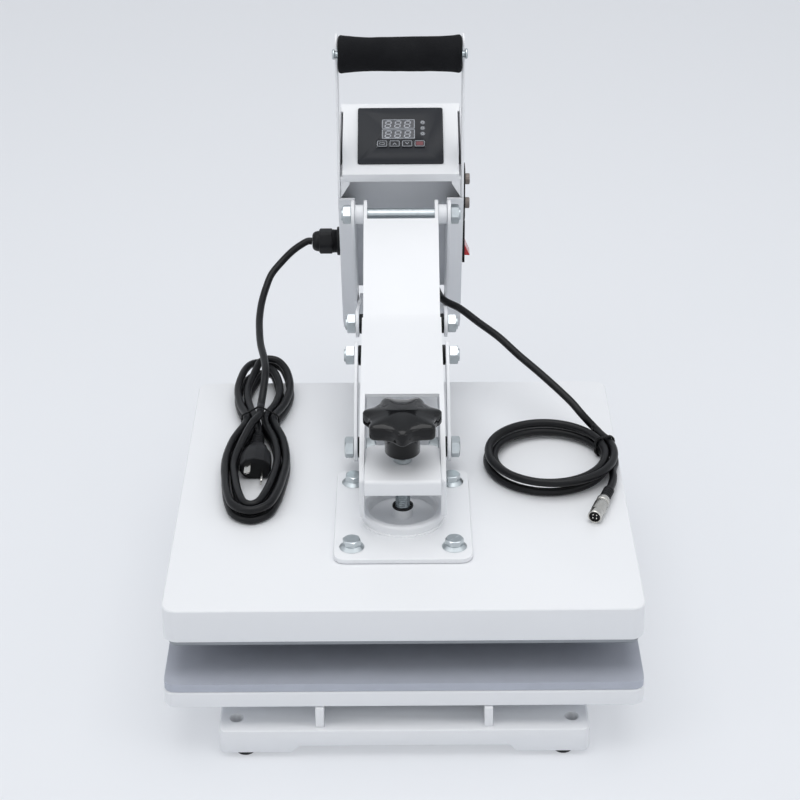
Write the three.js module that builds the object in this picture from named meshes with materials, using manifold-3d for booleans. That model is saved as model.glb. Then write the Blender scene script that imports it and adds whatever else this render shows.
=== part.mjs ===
// A clamshell heat press with a 400 mm platen, open by a finger's width.
// Millimetres, +Z up, +X to the right, the operator stands on the -Y side.
// Y = 0 is under the middle of the heated platen; the finished group is moved so that
// its box is centred on the origin and its rubber feet stand on Z = 0.
import * as THREE from "three";
import { mergeVertices } from "three/addons/utils/BufferGeometryUtils.js";
import Module from "manifold-3d";

const wasm = await Module();
wasm.setup();

// Driving dimensions
const clearance = 0.3;
const overrun = 20;
const sheet = 2.5;
const armPlate = 3.3;
const platenWidth = 400;
const platenDepth = 398;
const coverTop = 137;
const coverHeight = 31.4;
const hinge = { y: 385, z: 130 };
const axleA = { y: 269, z: 287 };
const boltB = { y: 176, z: 213 };
const boltC = { y: 112, z: 212 };
const pivotD = { y: 30, z: 160 };
const screwY = -58;
const wallOuter = 62.3;
const rodRadius = 6;
const rodHoleRadius = rodRadius + clearance;
const cordRadius = 3.65;

// Feet, foot bars and rails
const foot = { radius: 8.5, height: 4, studRadius: 2.5, studHeight: 5.5, fromEnd: 22, fromFace: 10.5 };
const bar = {
  width: 313, depth: 45, height: 22.5, frontY: -216, rearY: 357, cornerRadius: 8, edgeRadius: 3,
  reliefHalf: 95, reliefHeight: 6.5, boreRadius: 6, boreDepth: 16, boltRadius: 3.5,
  boreFromEnd: 14.5, boreFromFace: 19,
};
const barBottom = foot.height + clearance;
const barTop = barBottom + bar.height;
const rail = { x: 71, thickness: 7, height: 19, frontInset: 5, rearInset: 8, slopeFrom: 352, endHeight: 4 };

// Lower platen and pad
const lower = { halfWidth: 201.5, frontY: -209, backY: 199, thickness: 15.5, cornerRadius: 10 };
const lowerBottom = barTop + clearance + rail.height + clearance;
const lowerTop = lowerBottom + lower.thickness;
const pad = { inset: 0.5, backInset: 3, height: 8, edgeRadius: 2, cornerRadius: 9 };

// Upper platen
const cover = { sheet: 2, cornerRadius: 12 };
const coverBottom = coverTop - coverHeight;
const heater = { inset: 4, drop: 6, thickness: 14, cornerRadius: 8 };
const mount = { halfWidth: 59.5, frontY: -130, backY: 19, thickness: 4.7, cornerRadius: 10 };
const mountBottom = coverTop + clearance;
const mountTop = mountBottom + mount.thickness;
const boss = { radius: 9, bore: 7, height: 8.5 };
const ring = { outer: 36.5, inner: 29.5, height: 8.6, edge: 1.5 };
const flangeBolt = { x: 44, frontY: -110, backY: -2, flange: 10.75, flangeHeight: 2, flats: 14, height: 8 };

// Pressure screw and knob
const screw = { radius: 6.5, top: 214 };
const knob = {
  hubRadius: 15.5, hubBottom: 206, starBottom: 229.5, starTop: 243, lobes: 7,
  middleRadius: 30, lobeShare: 0.165, edge: 3.5, dishRadius: 15, dishDepth: 1.5,
};
const saddle = { top: 197, frontY: -94, backY: -31, sheet: 4, lip: 14, cornerRadius: 9, bend: 3 };
const pressureNut = { flats: 16, height: 5 };

// Press arm, an upside-down channel
const arm = {
  inner: 33.2, padEndY: 150, padThickness: 1, frontY: -83, bottomZ: 154, shoulderZ: 190,
  webFrontY: 17, webFrontZ: 222, kinkZ: 231, webEndY: 249, tipRadius: 14,
};
const armOuter = arm.inner + armPlate;
const armPadOuter = armOuter + arm.padThickness;
const link = { inner: 40.9, lug: 13, hingeLug: 14 };
const linkOuter = link.inner + armPlate;
const nut = { flats: 17, height: 9 };
const collarRadius = 9.5;

// Rear structure
const tower = { thickness: 4, topRadius: 16, footWidth: 18, waistZ: 62, frontY: 362, backInset: 3 };
const towerOuter = link.inner - clearance;
const towerInner = towerOuter - tower.thickness;
const ear = { inner: 45.7, lug: 14, hingeLug: 16, frontY: 352, frontZ: 122, lowZ: 150, highZ: 268 };
const earOuter = ear.inner + armPlate;
const handle = { y: 288.5, z: 445, radius: 17.8, waist: 16.4, flare: 18.3, barRadius: 8, screw: 3,
    armOver: 16 };
const wall = {
  frontLowY: 366, frontLowZ: 115, kinkY: 287, kinkZ: 296, foot: 30, footY: 395, footZ: 133,
  rearY: 372, rearZ: 368, armDepth: 26, armTop: handle.z + handle.armOver, armRadius: 12, shoulderRise: 3,
};
const wallInner = wallOuter - sheet;
const wallSlope = (wall.frontLowY - wall.kinkY) / (wall.kinkZ - wall.frontLowZ);
const handleHead = { radius: 5, height: 2.4, edge: 0.8, socket: 1.8, socketDepth: 1.2 };

// Control housing with its sloping face
const face = { bottomY: 285, bottomZ: 322.7, topY: 366, topZ: 366, half: 57.5 };
const faceAngle = Math.atan2(face.topZ - face.bottomZ, face.topY - face.bottomY);
const faceLength = Math.hypot(face.topZ - face.bottomZ, face.topY - face.bottomY);
const lip = { drop: 9, back: 3, shelfY: 303, shelfRise: 7.5 };
const inner = { depth: 45, kneeZ: 275, bottomZ: 152 };
const gusset = { inner: 50.5, bottomZ: 297, thickness: 2.5 };
const outlet = { x: 20, z: 222, radius: cordRadius + 2 };
const backCover = { topY: 368.5, topZ: 361, bottomY: 417, bottomZ: 143, turnIn: 8 };
const overlay = { half: 42.5, from: 12.5, to: 84.5, thickness: 1.7, cornerRadius: 2 };
const displayWindow = { x: -2, half: 15.5, depth: 0.6, lowerFrom: 44.5, lowerTo: 55.6, upperFrom: 57.4,
    upperTo: 68.6 };
const key = { count: 4, firstX: -18.3, pitch: 12.45, width: 10.4, length: 9.8, along: 37.3, under: 0.8,
    height: 1.8 };

// Left gland and right switch and fuses
const gland = {
  y: 335, z: 229, threadRadius: 8, thread: 9, flange: 14.65, flangeHeight: 3, neck: 12.15, neckHeight: 4.4,
  flats: 24, nutHeight: 14, dome: 9.5, domeTip: 5.5, domeHeight: 7.2,
};
const fuse = { y: 325, z: 288, height: 54, width: 24, thickness: 2, capZ: 13, cap: 5.6, capHeight: 4.5,
    capEdge: 1, stem: 4 };
const rocker = { y: 340, z: 230, halfLength: 18, halfWidth: 8.8, tip: 6, waist: 2.4, depth: 6,
    shoulder: 16 };
const rockerPivotX = wallOuter - 1.5 * clearance - 1;
const rockerTilt = THREE.MathUtils.degToRad(12);
const bezel = { halfHeight: 23, halfWidth: 12, thickness: 2.5, tubWall: 1.2, tubDepth: 10.5, play: 1.6 };
const rockerPin = { radius: 1.3, length: 1 };

// Power cord: hank, tie and plug on the cover
const hank = {
  x: -134, y: 76, halfLength: 135, half: 25.4, waistHalf: 8.4, tieY: 98, pinch: 36, turns: 4,
  offset: 5.8, squareness: 0.75, steps: 24, waistLift: 2.6, farFan: 2.4, nearFan: 1.2, straight: 8,
};
const hankTie = { wire: 1.2, halfWidth: 1.2, slack: 0.8 };
const plug = {
  reliefRadius: 5.4, reliefBackY: 70, reliefFrontY: 50, backHalf: 8.5, faceHalf: 14.6, faceY: 12,
  shoulderY: 30, height: 23, bladeLength: 17, bladeWidth: 6.3, bladeThickness: 1.6, bladeX: 7.9,
  bladeTilt: Math.PI / 6, roll: (Math.PI * 2) / 9, flare: 1.4,
};

// Sensor cable: coil, tie and connector on the cover
const coil = { x: 134.3, y: 34.5, radius: 56, turns: 3.15, offset: 5.8, steps: 24, straight: 8,
    startRise: 0.7 };
const coilTieAngle = THREE.MathUtils.degToRad(19);
const coilStartAngle = THREE.MathUtils.degToRad(33);
const coilTie = { wire: 1.2, halfWidth: 1.6 };
const connector = {
  fromX: 184.6, fromY: -21, toX: 167.7, toY: -67, sleeve: 4.9, sleeveLength: 18, body: 6.25,
  collar: 6.05, groove: 5.4, grooveLength: 2, face: 5, faceDepth: 2.5, pin: 0.7, pinSpread: 2.3,
};

// Materials
const look = (color, roughness, metalness) => new THREE.MeshStandardMaterial({ color, roughness,
    metalness });
const whitePaint = look(0xe9ebee, 0.45, 0);
const zinc = look(0xb9c3c6, 0.35, 0.9);
const alloy = look(0x9a9ea2, 0.5, 0.8);
const blackPlastic = look(0x17181b, 0.5, 0);
const glossBlack = look(0x0c0d10, 0.15, 0);
const greySilicone = look(0x8d9093, 0.8, 0);
const rubber = look(0x141416, 0.8, 0);
const foam = look(0x1b1c1f, 0.9, 0);
const cordBlack = look(0x17181c, 0.45, 0);
const redPlastic = look(0xc4151b, 0.3, 0);
const panelBlack = look(0x23252b, 0.3, 0);
const insulationWhite = look(0xd8d4c8, 0.95, 0);
const nickel = look(0xc6c4bd, 0.25, 0.95);

// Solids: closed geometries turned into booleans' solids and back
function toSolid(geometry) {
  const bare = geometry.clone();
  bare.deleteAttribute("normal");
  bare.deleteAttribute("uv");
  const merged = bare.index && geometry.userData.welded ? bare : mergeVertices(bare, 1e-4);
  const triVerts = Uint32Array.from(merged.index.array);
  const vertProperties = Float32Array.from(merged.attributes.position.array);
  return new wasm.Manifold(new wasm.Mesh({ numProp: 3, vertProperties, triVerts }));
}

function toGeometry(solid) {
  const { vertProperties, triVerts } = solid.getMesh();
  const geometry = new THREE.BufferGeometry();
  geometry.setAttribute("position", new THREE.BufferAttribute(Float32Array.from(vertProperties), 3));
  geometry.setIndex(new THREE.BufferAttribute(Uint32Array.from(triVerts), 1));
  geometry.computeVertexNormals();
  return geometry;
}

const cut = (solid, ...others) => others.reduce((rest, other) => rest.subtract(other), solid);
const join = (solid, ...others) => others.reduce((whole, other) => whole.add(other), solid);

const object = new THREE.Group();

function piece(name, solid, material, parent = object) {
  const mesh = new THREE.Mesh(toGeometry(solid), material);
  mesh.name = name;
  parent.add(mesh);
  return mesh;
}

// Outlines: corners are [u, v, fillet], and lug(u, v, r) is a round end that the outline wraps
const lug = (u, v, radius) => [u, v, 0, radius];

function tangentPoints(from, to) {
  const [fu, fv, , fr = 0] = from;
  const [tu, tv, , tr = 0] = to;
  const heading = Math.atan2(tv - fv, tu - fu);
  const normal = heading - Math.acos((fr - tr) / Math.hypot(tu - fu, tv - fv));
  const offset = (u, v, r) => new THREE.Vector2(u + r * Math.cos(normal), v + r * Math.sin(normal));
  return [offset(fu, fv, fr), offset(tu, tv, tr)];
}

function tracePath(path, corners) {
  const count = corners.length;
  const edges = corners.map((corner, i) => tangentPoints(corner, corners[(i + 1) % count]));
  corners.forEach(([u, v, fillet, round = 0], i) => {
    const [before, arrive] = edges[(i + count - 1) % count];
    const [leave, after] = edges[i];
    if (round > 0) {
      path.absarc(u, v, round, Math.atan2(arrive.y - v, arrive.x - u), Math.atan2(leave.y - v,
          leave.x - u), false);
      return;
    }
    const back = before.clone().sub(arrive);
    const ahead = after.clone().sub(leave);
    const half = back.angleTo(ahead) / 2;
    const room = Math.min(back.length(), ahead.length()) * 0.49;
    const radius = Math.min(fillet, room * Math.tan(half));
    if (radius === 0) {
      const step = i === 0 ? "moveTo" : "lineTo";
      path[step](u, v);
      return;
    }
    const start = back.clone().setLength(radius / Math.tan(half)).add(arrive);
    const end = ahead.clone().setLength(radius / Math.tan(half)).add(arrive);
    const middle = back.clone().normalize().add(ahead.clone().normalize());
    const centre = middle.setLength(radius / Math.sin(half)).add(arrive);
    const from = Math.atan2(start.y - centre.y, start.x - centre.x);
    const to = Math.atan2(end.y - centre.y, end.x - centre.x);
    path.absarc(centre.x, centre.y, radius, from, to, back.cross(ahead) > 0);
  });
  path.closePath();
  return path;
}

const outline = (corners) => tracePath(new THREE.Shape(), corners);

function rectangle(u0, v0, u1, v1, fillet = 0) {
  return outline([[u0, v0, fillet], [u1, v0, fillet], [u1, v1, fillet], [u0, v1, fillet]]);
}

// A bent sheet seen from its edge: the path is one skin, the other lies to its left
function bentSheet(path, thickness) {
  const points = path.map(([u, v]) => new THREE.Vector2(u, v));
  const normals = points.slice(1).map((point, i) => {
    const along = point.clone().sub(points[i]).normalize();
    return new THREE.Vector2(-along.y, along.x);
  });
  const inside = points.map((point, i) => {
    const before = normals[Math.max(i - 1, 0)];
    const after = normals[Math.min(i, normals.length - 1)];
    const mitre = before.clone().add(after).multiplyScalar(thickness / (1 + before.dot(after)));
    return point.clone().add(mitre);
  });
  return new THREE.Shape([...points, ...inside.reverse()]);
}

// Extrusions of an outline along each axis, and turned solids
const axesX = new THREE.Matrix4().makeBasis(
  new THREE.Vector3(0, 1, 0), new THREE.Vector3(0, 0, 1), new THREE.Vector3(1, 0, 0));
const axesY = new THREE.Matrix4().makeBasis(
  new THREE.Vector3(1, 0, 0), new THREE.Vector3(0, 0, 1), new THREE.Vector3(0, -1, 0));

function extrude(shape, depth, edge = 0, curveSegments = 3) {
  const bevelSegments = edge > sheet / 2 ? 2 : 1;
  const options = { depth: depth - 2 * edge, curveSegments, bevelEnabled: edge > 0, bevelSegments };
  options.bevelSize = edge;
  options.bevelThickness = edge;
  options.bevelOffset = -edge;
  return new THREE.ExtrudeGeometry(shape, options).translate(0, 0, edge);
}

const alongZ = (shape, z0, z1, edge, segments) =>
  toSolid(extrude(shape, z1 - z0, edge, segments).translate(0, 0, z0));
const alongX = (shape, x0, x1, edge, segments) =>
  toSolid(extrude(shape, x1 - x0, edge, segments).applyMatrix4(axesX).translate(x0, 0, 0));
const alongY = (shape, y0, y1, edge, segments) =>
  toSolid(extrude(shape, y1 - y0, edge, segments).applyMatrix4(axesY).translate(0, y1, 0));

function turned(profile, sides = 18) {
  const points = profile.map(([radius, height]) => new THREE.Vector2(radius, height));
  return new THREE.LatheGeometry(points, sides).rotateX(Math.PI / 2);
}

function disc(radius, low, high, sides = 14) {
  return turned([[0, low], [radius, low], [radius, high], [0, high]], sides);
}

const upright = (geometry, x, y) => toSolid(geometry.translate(x, y, 0));
const sideways = (geometry, y, z) => toSolid(geometry.rotateY(Math.PI / 2).translate(0, y, z));
const bore = (radius, at, x0 = -wallOuter - overrun, x1 = wallOuter + overrun) =>
  sideways(disc(radius, x0, x1, 12), at.y, at.z);

// A hexagon bar along Z with its corners turned down at the top end
function hexagon(flats, low, high) {
  const corner = flats / Math.sqrt(3);
  const chamfer = (corner - flats / 2) * 0.6;
  const prism = toSolid(new THREE.CylinderGeometry(corner, corner, high - low, 6)
    .rotateX(Math.PI / 2).translate(0, 0, (low + high) / 2));
  const barrel = toSolid(turned([
    [0, low], [corner + clearance, low], [corner + clearance, high - chamfer], [flats / 2, high], [0,
        high]], 12));
  return prism.intersect(barrel);
}

const onSide = (solid, at) => solid.rotate([0, 90, 0]).translate([0, at.y, at.z]);
const mirrored = (solid) => solid.mirror([1, 0, 0]);
const bothSides = (solid) => join(solid, mirrored(solid));

function leftAndRight(name, solid, material) {
  piece(`${name}_left`, mirrored(solid), material);
  piece(`${name}_right`, solid, material);
}

// Feet: a rubber disc with a stud that is pressed up into the foot bar
function makeFeet() {
  const flare = foot.radius * 0.9;
  const studTop = barBottom + foot.studHeight;
  const profile = [
    [0, 0], [flare, 0], [foot.radius, foot.height * 0.4], [foot.radius, foot.height],
    [foot.studRadius, foot.height], [foot.studRadius, studTop], [0, studTop]];
  for (const [row, y] of [["front", bar.frontY + foot.fromFace], ["rear",
      bar.rearY + bar.depth - foot.fromFace]]) {
    for (const [side, sign] of [["left", -1], ["right", 1]]) {
      const x = sign * (bar.width / 2 - foot.fromEnd);
      piece(`foot_${row}_${side}`, upright(turned(profile, 12), x, y), rubber);
    }
  }
}

// Foot bars: rounded beams, relieved below in the middle, with counterbored holes for bench bolts
function makeFootBar(name, y0, facing, ...welded) {
  const half = bar.width / 2;
  const relief = bar.reliefHalf - bar.reliefHeight;
  const reliefTop = barBottom + bar.reliefHeight;
  const section = outline([
    [-half, barBottom, bar.edgeRadius], [-bar.reliefHalf, barBottom, 0], [-relief, reliefTop, 0],
    [relief, reliefTop, 0], [bar.reliefHalf, barBottom, 0], [half, barBottom, bar.edgeRadius],
    [half, barTop, bar.edgeRadius], [-half, barTop, bar.edgeRadius]]);
  const plan = rectangle(-half, y0, half, y0 + bar.depth, bar.cornerRadius);
  const beam = alongY(section, y0, y0 + bar.depth, bar.edgeRadius / 2, 3)
    .intersect(alongZ(plan, barBottom - overrun, barTop + overrun));
  const middle = y0 + bar.depth / 2;
  const boltY = middle + facing * (bar.depth / 2 - bar.boreFromFace);
  const studY = middle + facing * (bar.depth / 2 - foot.fromFace);
  const studTop = barBottom + foot.studHeight + clearance;
  const bores = [-1, 1].flatMap((sign) => {
    const boltX = sign * (half - bar.boreFromEnd);
    return [
      upright(disc(bar.boreRadius, barTop - bar.boreDepth, barTop + overrun, 20), boltX, boltY),
      upright(disc(bar.boltRadius, barBottom - overrun, barTop, 12), boltX, boltY),
      upright(disc(foot.studRadius + clearance, barBottom - overrun, studTop, 12),
          sign * (half - foot.fromEnd), studY)];
  });
  piece(name, join(cut(beam, ...bores), ...welded), whitePaint);
}

function makeRails() {
  const low = barTop + clearance;
  const front = bar.frontY + rail.frontInset;
  const back = bar.rearY + bar.depth - rail.rearInset;
  const shape = outline([
    [front, low, 0], [back, low, 0], [back, low + rail.endHeight, 0],
    [rail.slopeFrom, low + rail.height, rail.height], [front, low + rail.height, 0]]);
  leftAndRight("rail", alongX(shape, rail.x - rail.thickness / 2, rail.x + rail.thickness / 2), whitePaint);
}

function makeLowerPlaten() {
  const plan = rectangle(-lower.halfWidth, lower.frontY, lower.halfWidth, lower.backY, lower.cornerRadius);
  piece("lower_platen", alongZ(plan, lowerBottom, lowerTop, sheet / 2), whitePaint);
  const half = lower.halfWidth - pad.inset;
  const padPlan = rectangle(-half, lower.frontY + pad.inset, half, lower.backY - pad.backInset,
      pad.cornerRadius);
  const base = lowerTop + clearance;
  piece("silicone_pad", alongZ(padPlan, base, base + pad.height, pad.edgeRadius), greySilicone);
}

// Towers: bent plates welded to the rear bar that carry the main hinge
function towers() {
  const low = barTop - tower.thickness / 2;
  const back = bar.rearY + bar.depth - tower.backInset;
  const shape = outline([
    [tower.frontY, low, 0], [back, low, 0], [back, tower.waistZ, tower.topRadius],
    lug(hinge.y, hinge.z, tower.topRadius), [hinge.y - tower.topRadius, tower.waistZ, tower.topRadius]]);
  const plate = alongX(shape, towerInner, towerOuter);
  const flange = alongX(rectangle(tower.frontY, low, back, barTop + tower.thickness),
    towerInner - tower.footWidth, towerOuter);
  return bothSides(cut(join(plate, flange), bore(rodHoleRadius, hinge, 0)));
}

// A rod through the machine with collars and a nut at each end
function throughBolt(at, collarFrom, collarTo, nutFrom) {
  const end = nutFrom + nut.height;
  const rod = onSide(toSolid(disc(rodRadius, -end - clearance, end + clearance, 12)), at);
  const collar = onSide(toSolid(disc(collarRadius, collarFrom, collarTo)), at);
  const endNut = onSide(hexagon(nut.flats, nutFrom, end), at);
  return join(rod, bothSides(collar), bothSides(endNut));
}

function makeHingePin() {
  const nutFrom = earOuter + clearance;
  const end = nutFrom + nut.height - 2;
  const spacer = towerInner - clearance;
  const pin = onSide(toSolid(disc(rodRadius, -end, end, 16)), hinge);
  const tube = onSide(toSolid(disc(collarRadius, -spacer, spacer)), hinge);
  const endNut = onSide(hexagon(nut.flats, nutFrom, end), hinge);
  piece("hinge_pin", join(pin, tube, bothSides(endNut)), zinc);
}

// Press arm: an inverted channel that tapers to a round tip at its axle
function makeArm() {
  const tipStart = [boltB.y + boltC.y * 0.5, boltB.z + cordRadius, arm.tipRadius];
  const kinkY = arm.padEndY;
  const shape = outline([
    [arm.frontY, arm.bottomZ, 4], [pivotD.y - 2 * link.lug, arm.bottomZ, link.lug],
    [pivotD.y - link.lug / 2, arm.bottomZ - 5, link.lug], [pivotD.y + 1.5 * link.lug, arm.bottomZ - 4,
        2 * link.lug],
    tipStart, [tipStart[0] + link.lug, tipStart[1] + link.lug, 2 * link.lug],
    lug(axleA.y, axleA.z, arm.tipRadius),
    [kinkY, arm.kinkZ, 4 * link.lug], [arm.webFrontY, arm.webFrontZ, link.lug],
    [arm.webFrontY - 37, arm.webFrontZ - 7, link.lug], [arm.frontY, arm.shoulderZ, 5]]);
  const body = alongX(shape, -armOuter, armOuter);
  const pads = alongX(shape, -armPadOuter, armPadOuter)
    .intersect(alongX(rectangle(-platenDepth, 0, kinkY, 2 * platenDepth), -platenWidth, platenWidth));
  const [, tipTop] = tangentPoints([kinkY, arm.kinkZ], lug(axleA.y, axleA.z, -arm.tipRadius));
  const slope = (tipTop.y - arm.kinkZ) / (tipTop.x - kinkY);
  const webEndZ = arm.kinkZ + slope * (arm.webEndY - kinkY) - armPlate * Math.hypot(1, slope);
  const far = 2 * platenDepth;
  const channel = new THREE.Shape([
    [-far, 0], [far, 0], [far, far], [arm.webEndY, far], [arm.webEndY, webEndZ],
    [kinkY, arm.kinkZ - armPlate], [arm.webFrontY, arm.webFrontZ - armPlate], [arm.webFrontY, far],
        [-far, far],
  ].map(([y, z]) => new THREE.Vector2(y, z)));
  const holes = [axleA, boltB, boltC, pivotD].map((at) => bore(rodHoleRadius, at));
  piece("arm_channel", cut(join(body, pads), alongX(channel, -arm.inner, arm.inner), ...holes), whitePaint);
}

function makeLinks() {
  const side = alongX(outline([lug(pivotD.y, pivotD.z, link.lug), lug(boltC.y, boltC.z, link.lug)]),
      link.inner, linkOuter);
  const low = alongX(outline([lug(boltB.y, boltB.z, link.lug), lug(hinge.y, hinge.z, link.hingeLug)]),
      link.inner, linkOuter);
  leftAndRight("side_link", cut(side, bore(rodHoleRadius, pivotD), bore(rodHoleRadius, boltC)), whitePaint);
  leftAndRight("hinge_link", cut(low, bore(rodHoleRadius, boltB), bore(rodHoleRadius, hinge)), whitePaint);
}

function makeRods() {
  const linkNut = linkOuter + clearance;
  const collarEnd = link.inner - clearance;
  piece("axle_a", throughBolt(axleA, armOuter + clearance, ear.inner - clearance,
      earOuter + clearance), zinc);
  piece("cross_bolt_b", throughBolt(boltB, armOuter + clearance, collarEnd, linkNut), zinc);
  piece("cross_bolt_c", throughBolt(boltC, armPadOuter + clearance, collarEnd, linkNut), zinc);
  const shank = toSolid(disc(rodRadius, arm.inner - nut.height, linkNut + clearance, 16));
  const collar = toSolid(disc(collarRadius, armPadOuter + clearance, collarEnd));
  const head = hexagon(nut.flats, linkNut, linkNut + nut.height);
  const innerNut = hexagon(nut.flats, arm.inner - nut.height, arm.inner - clearance);
  leftAndRight("pivot_bolt", onSide(join(shank, collar, head, innerNut), pivotD), zinc);
}

// Saddle: a folded plate between the arm's cheeks that the pressure screw passes through
function makeSaddle() {
  const half = arm.inner - clearance;
  const section = outline([
    [saddle.frontY, saddle.top - saddle.lip, 0], [saddle.frontY + saddle.sheet, saddle.top - saddle.lip, 0],
    [saddle.frontY + saddle.sheet, saddle.top - saddle.sheet, 0], [saddle.backY,
        saddle.top - saddle.sheet, 0],
    [saddle.backY, saddle.top, 0], [saddle.frontY, saddle.top, saddle.bend]]);
  const plan = outline([
    [-half, saddle.frontY, 0], [half, saddle.frontY, 0],
    [half, saddle.backY, saddle.cornerRadius], [-half, saddle.backY, saddle.cornerRadius]]);
  const folded = alongX(section, -half, half).intersect(alongZ(plan, saddle.top - coverTop,
      saddle.top + overrun));
  const hole = upright(disc(screw.radius + clearance, 0, saddle.top + overrun), 0, screwY);
  piece("saddle", cut(folded, hole), whitePaint);
  const base = saddle.top + clearance;
  const nutBlock = hexagon(pressureNut.flats, base, base + pressureNut.height).translate([0, screwY, 0]);
  piece("pressure_nut", cut(nutBlock, hole), zinc);
}

// Pressure screw and seven-lobed star knob
function makeKnob() {
  const tip = mountTop + clearance;
  const stem = turned([
    [0, tip], [screw.radius - 1, tip], [screw.radius, tip + 1], [screw.radius, screw.top], [0, screw.top]]);
  piece("pressure_screw", upright(stem, 0, screwY), zinc);
  const points = [];
  const pointCount = knob.lobes * 7;
  for (let i = 0; i < pointCount; i += 1) {
    const angle = (2 * Math.PI * i) / pointCount;
    const wave = Math.cos(knob.lobes * (angle + Math.PI / 2));
    const radius = knob.middleRadius * (1 + knob.lobeShare * (wave - 0.25 * wave * wave + 0.25));
    points.push(new THREE.Vector2(radius * Math.cos(angle), radius * Math.sin(angle)));
  }
  const star = alongZ(new THREE.Shape(points), knob.starBottom, knob.starTop, knob.edge);
  const hub = toSolid(turned([
    [0, knob.hubBottom], [knob.hubRadius - 1, knob.hubBottom], [knob.hubRadius, knob.hubBottom + 1],
    [knob.hubRadius + 1, knob.starBottom + knob.edge], [0, knob.starBottom + knob.edge]], 28));
  const dish = toSolid(turned([
    [0, knob.starTop - knob.dishDepth], [knob.dishRadius, knob.starTop - knob.dishDepth],
    [knob.dishRadius + knob.dishDepth, knob.starTop + clearance], [0, knob.starTop + clearance]], 28));
  const socket = toSolid(disc(screw.radius + clearance, 0, screw.top + clearance));
  piece("knob", cut(join(star, hub), dish, socket).translate([0, screwY, 0]), glossBlack);
}

// Upper platen: sheet cover, insulation and heating plate
function makeUpperPlaten() {
  const half = platenWidth / 2;
  const back = platenDepth / 2;
  const thin = cover.sheet;
  const outer = alongZ(rectangle(-half, -back, half, back, cover.cornerRadius), coverBottom, coverTop,
      thin / 2);
  const hollowPlan = rectangle(-half + thin, -back + thin, half - thin, back - thin,
      cover.cornerRadius - thin);
  const hollow = alongZ(hollowPlan, coverBottom - overrun, coverTop - thin);
  piece("platen_cover", cut(outer, hollow), whitePaint);
  const inset = heater.inset;
  const low = coverBottom - heater.drop;
  const plan = rectangle(-half + inset, -back + inset, half - inset, back - inset, heater.cornerRadius);
  piece("heating_plate", alongZ(plan, low, low + heater.thickness, thin / 2), alloy);
  const gap = thin + clearance;
  const fillPlan = rectangle(-half + gap, -back + gap, half - gap, back - gap, cover.cornerRadius - gap);
  piece("insulation", alongZ(fillPlan, low + heater.thickness + clearance, coverTop - gap), insulationWhite);
}

function makeMount() {
  const plan = rectangle(-mount.halfWidth, mount.frontY, mount.halfWidth, mount.backY, mount.cornerRadius);
  const plate = alongZ(plan, mountBottom, mountTop, clearance * 2);
  const bossRing = toSolid(turned([
    [boss.bore, mountTop - 1], [boss.radius, mountTop - 1], [boss.radius, mountTop + boss.height],
    [boss.bore, mountTop + boss.height], [boss.bore, mountTop - 1]]));
  const top = mountTop + ring.height;
  const root = mountTop - ring.edge;
  const seat = toSolid(turned([
    [ring.inner, root], [ring.outer, root], [ring.outer, top - ring.edge], [ring.outer - ring.edge, top],
    [ring.inner + ring.edge, top], [ring.inner, top - ring.edge], [ring.inner, root]], 36));
  piece("mount_plate", join(plate, join(bossRing, seat).translate([0, screwY, 0])), whitePaint);
  const base = mountTop + clearance;
  const flange = toSolid(turned([
    [0, base], [flangeBolt.flange, base], [flangeBolt.flange, base + 1],
    [flangeBolt.flats / 2, base + flangeBolt.flangeHeight + 1], [0, base + flangeBolt.flangeHeight + 1]]));
  const bolt = join(flange, hexagon(flangeBolt.flats, base + 1, base + flangeBolt.height));
  for (const [row, y] of [["front", flangeBolt.frontY], ["rear", flangeBolt.backY]]) {
    piece(`flange_bolt_${row}_left`, bolt.translate([-flangeBolt.x, y, 0]), zinc);
    piece(`flange_bolt_${row}_right`, bolt.translate([flangeBolt.x, y, 0]), zinc);
  }
}

// Front edge of the leaning side walls at a height
const frontEdgeY = (z) => wall.kinkY + wallSlope * (wall.kinkZ - z);
const stripReach = sheet * Math.hypot(1, wallSlope);
const innerWallY = (z) => frontEdgeY(z) + inner.depth;

// Cheeks: hinge ears with a folded front flange that closes the side walls' front edge
function makeCheeks() {
  const plate = alongX(outline([
    lug(axleA.y, axleA.z, ear.lug), [ear.frontY, ear.frontZ, ear.lug / 2],
    lug(hinge.y, hinge.z, ear.hingeLug), [innerWallY(ear.lowZ) - 2 * clearance, ear.lowZ, ear.lug / 2],
    [innerWallY(ear.highZ) - 2 * clearance, ear.highZ, ear.lug]]), ear.inner, earOuter);
  const top = wall.kinkZ;
  const low = wall.frontLowZ + ear.lug / 2;
  const strip = new THREE.Shape([
    [frontEdgeY(top), top], [frontEdgeY(low), low], [frontEdgeY(low) + stripReach, low],
    [frontEdgeY(top) + stripReach, top]].map(([y, z]) => new THREE.Vector2(y, z)));
  const flange = alongX(strip, ear.inner, wallOuter);
  leftAndRight("cheek", cut(join(plate, flange), bore(rodHoleRadius, axleA), bore(rodHoleRadius,
      hinge)), whitePaint);
}

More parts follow.
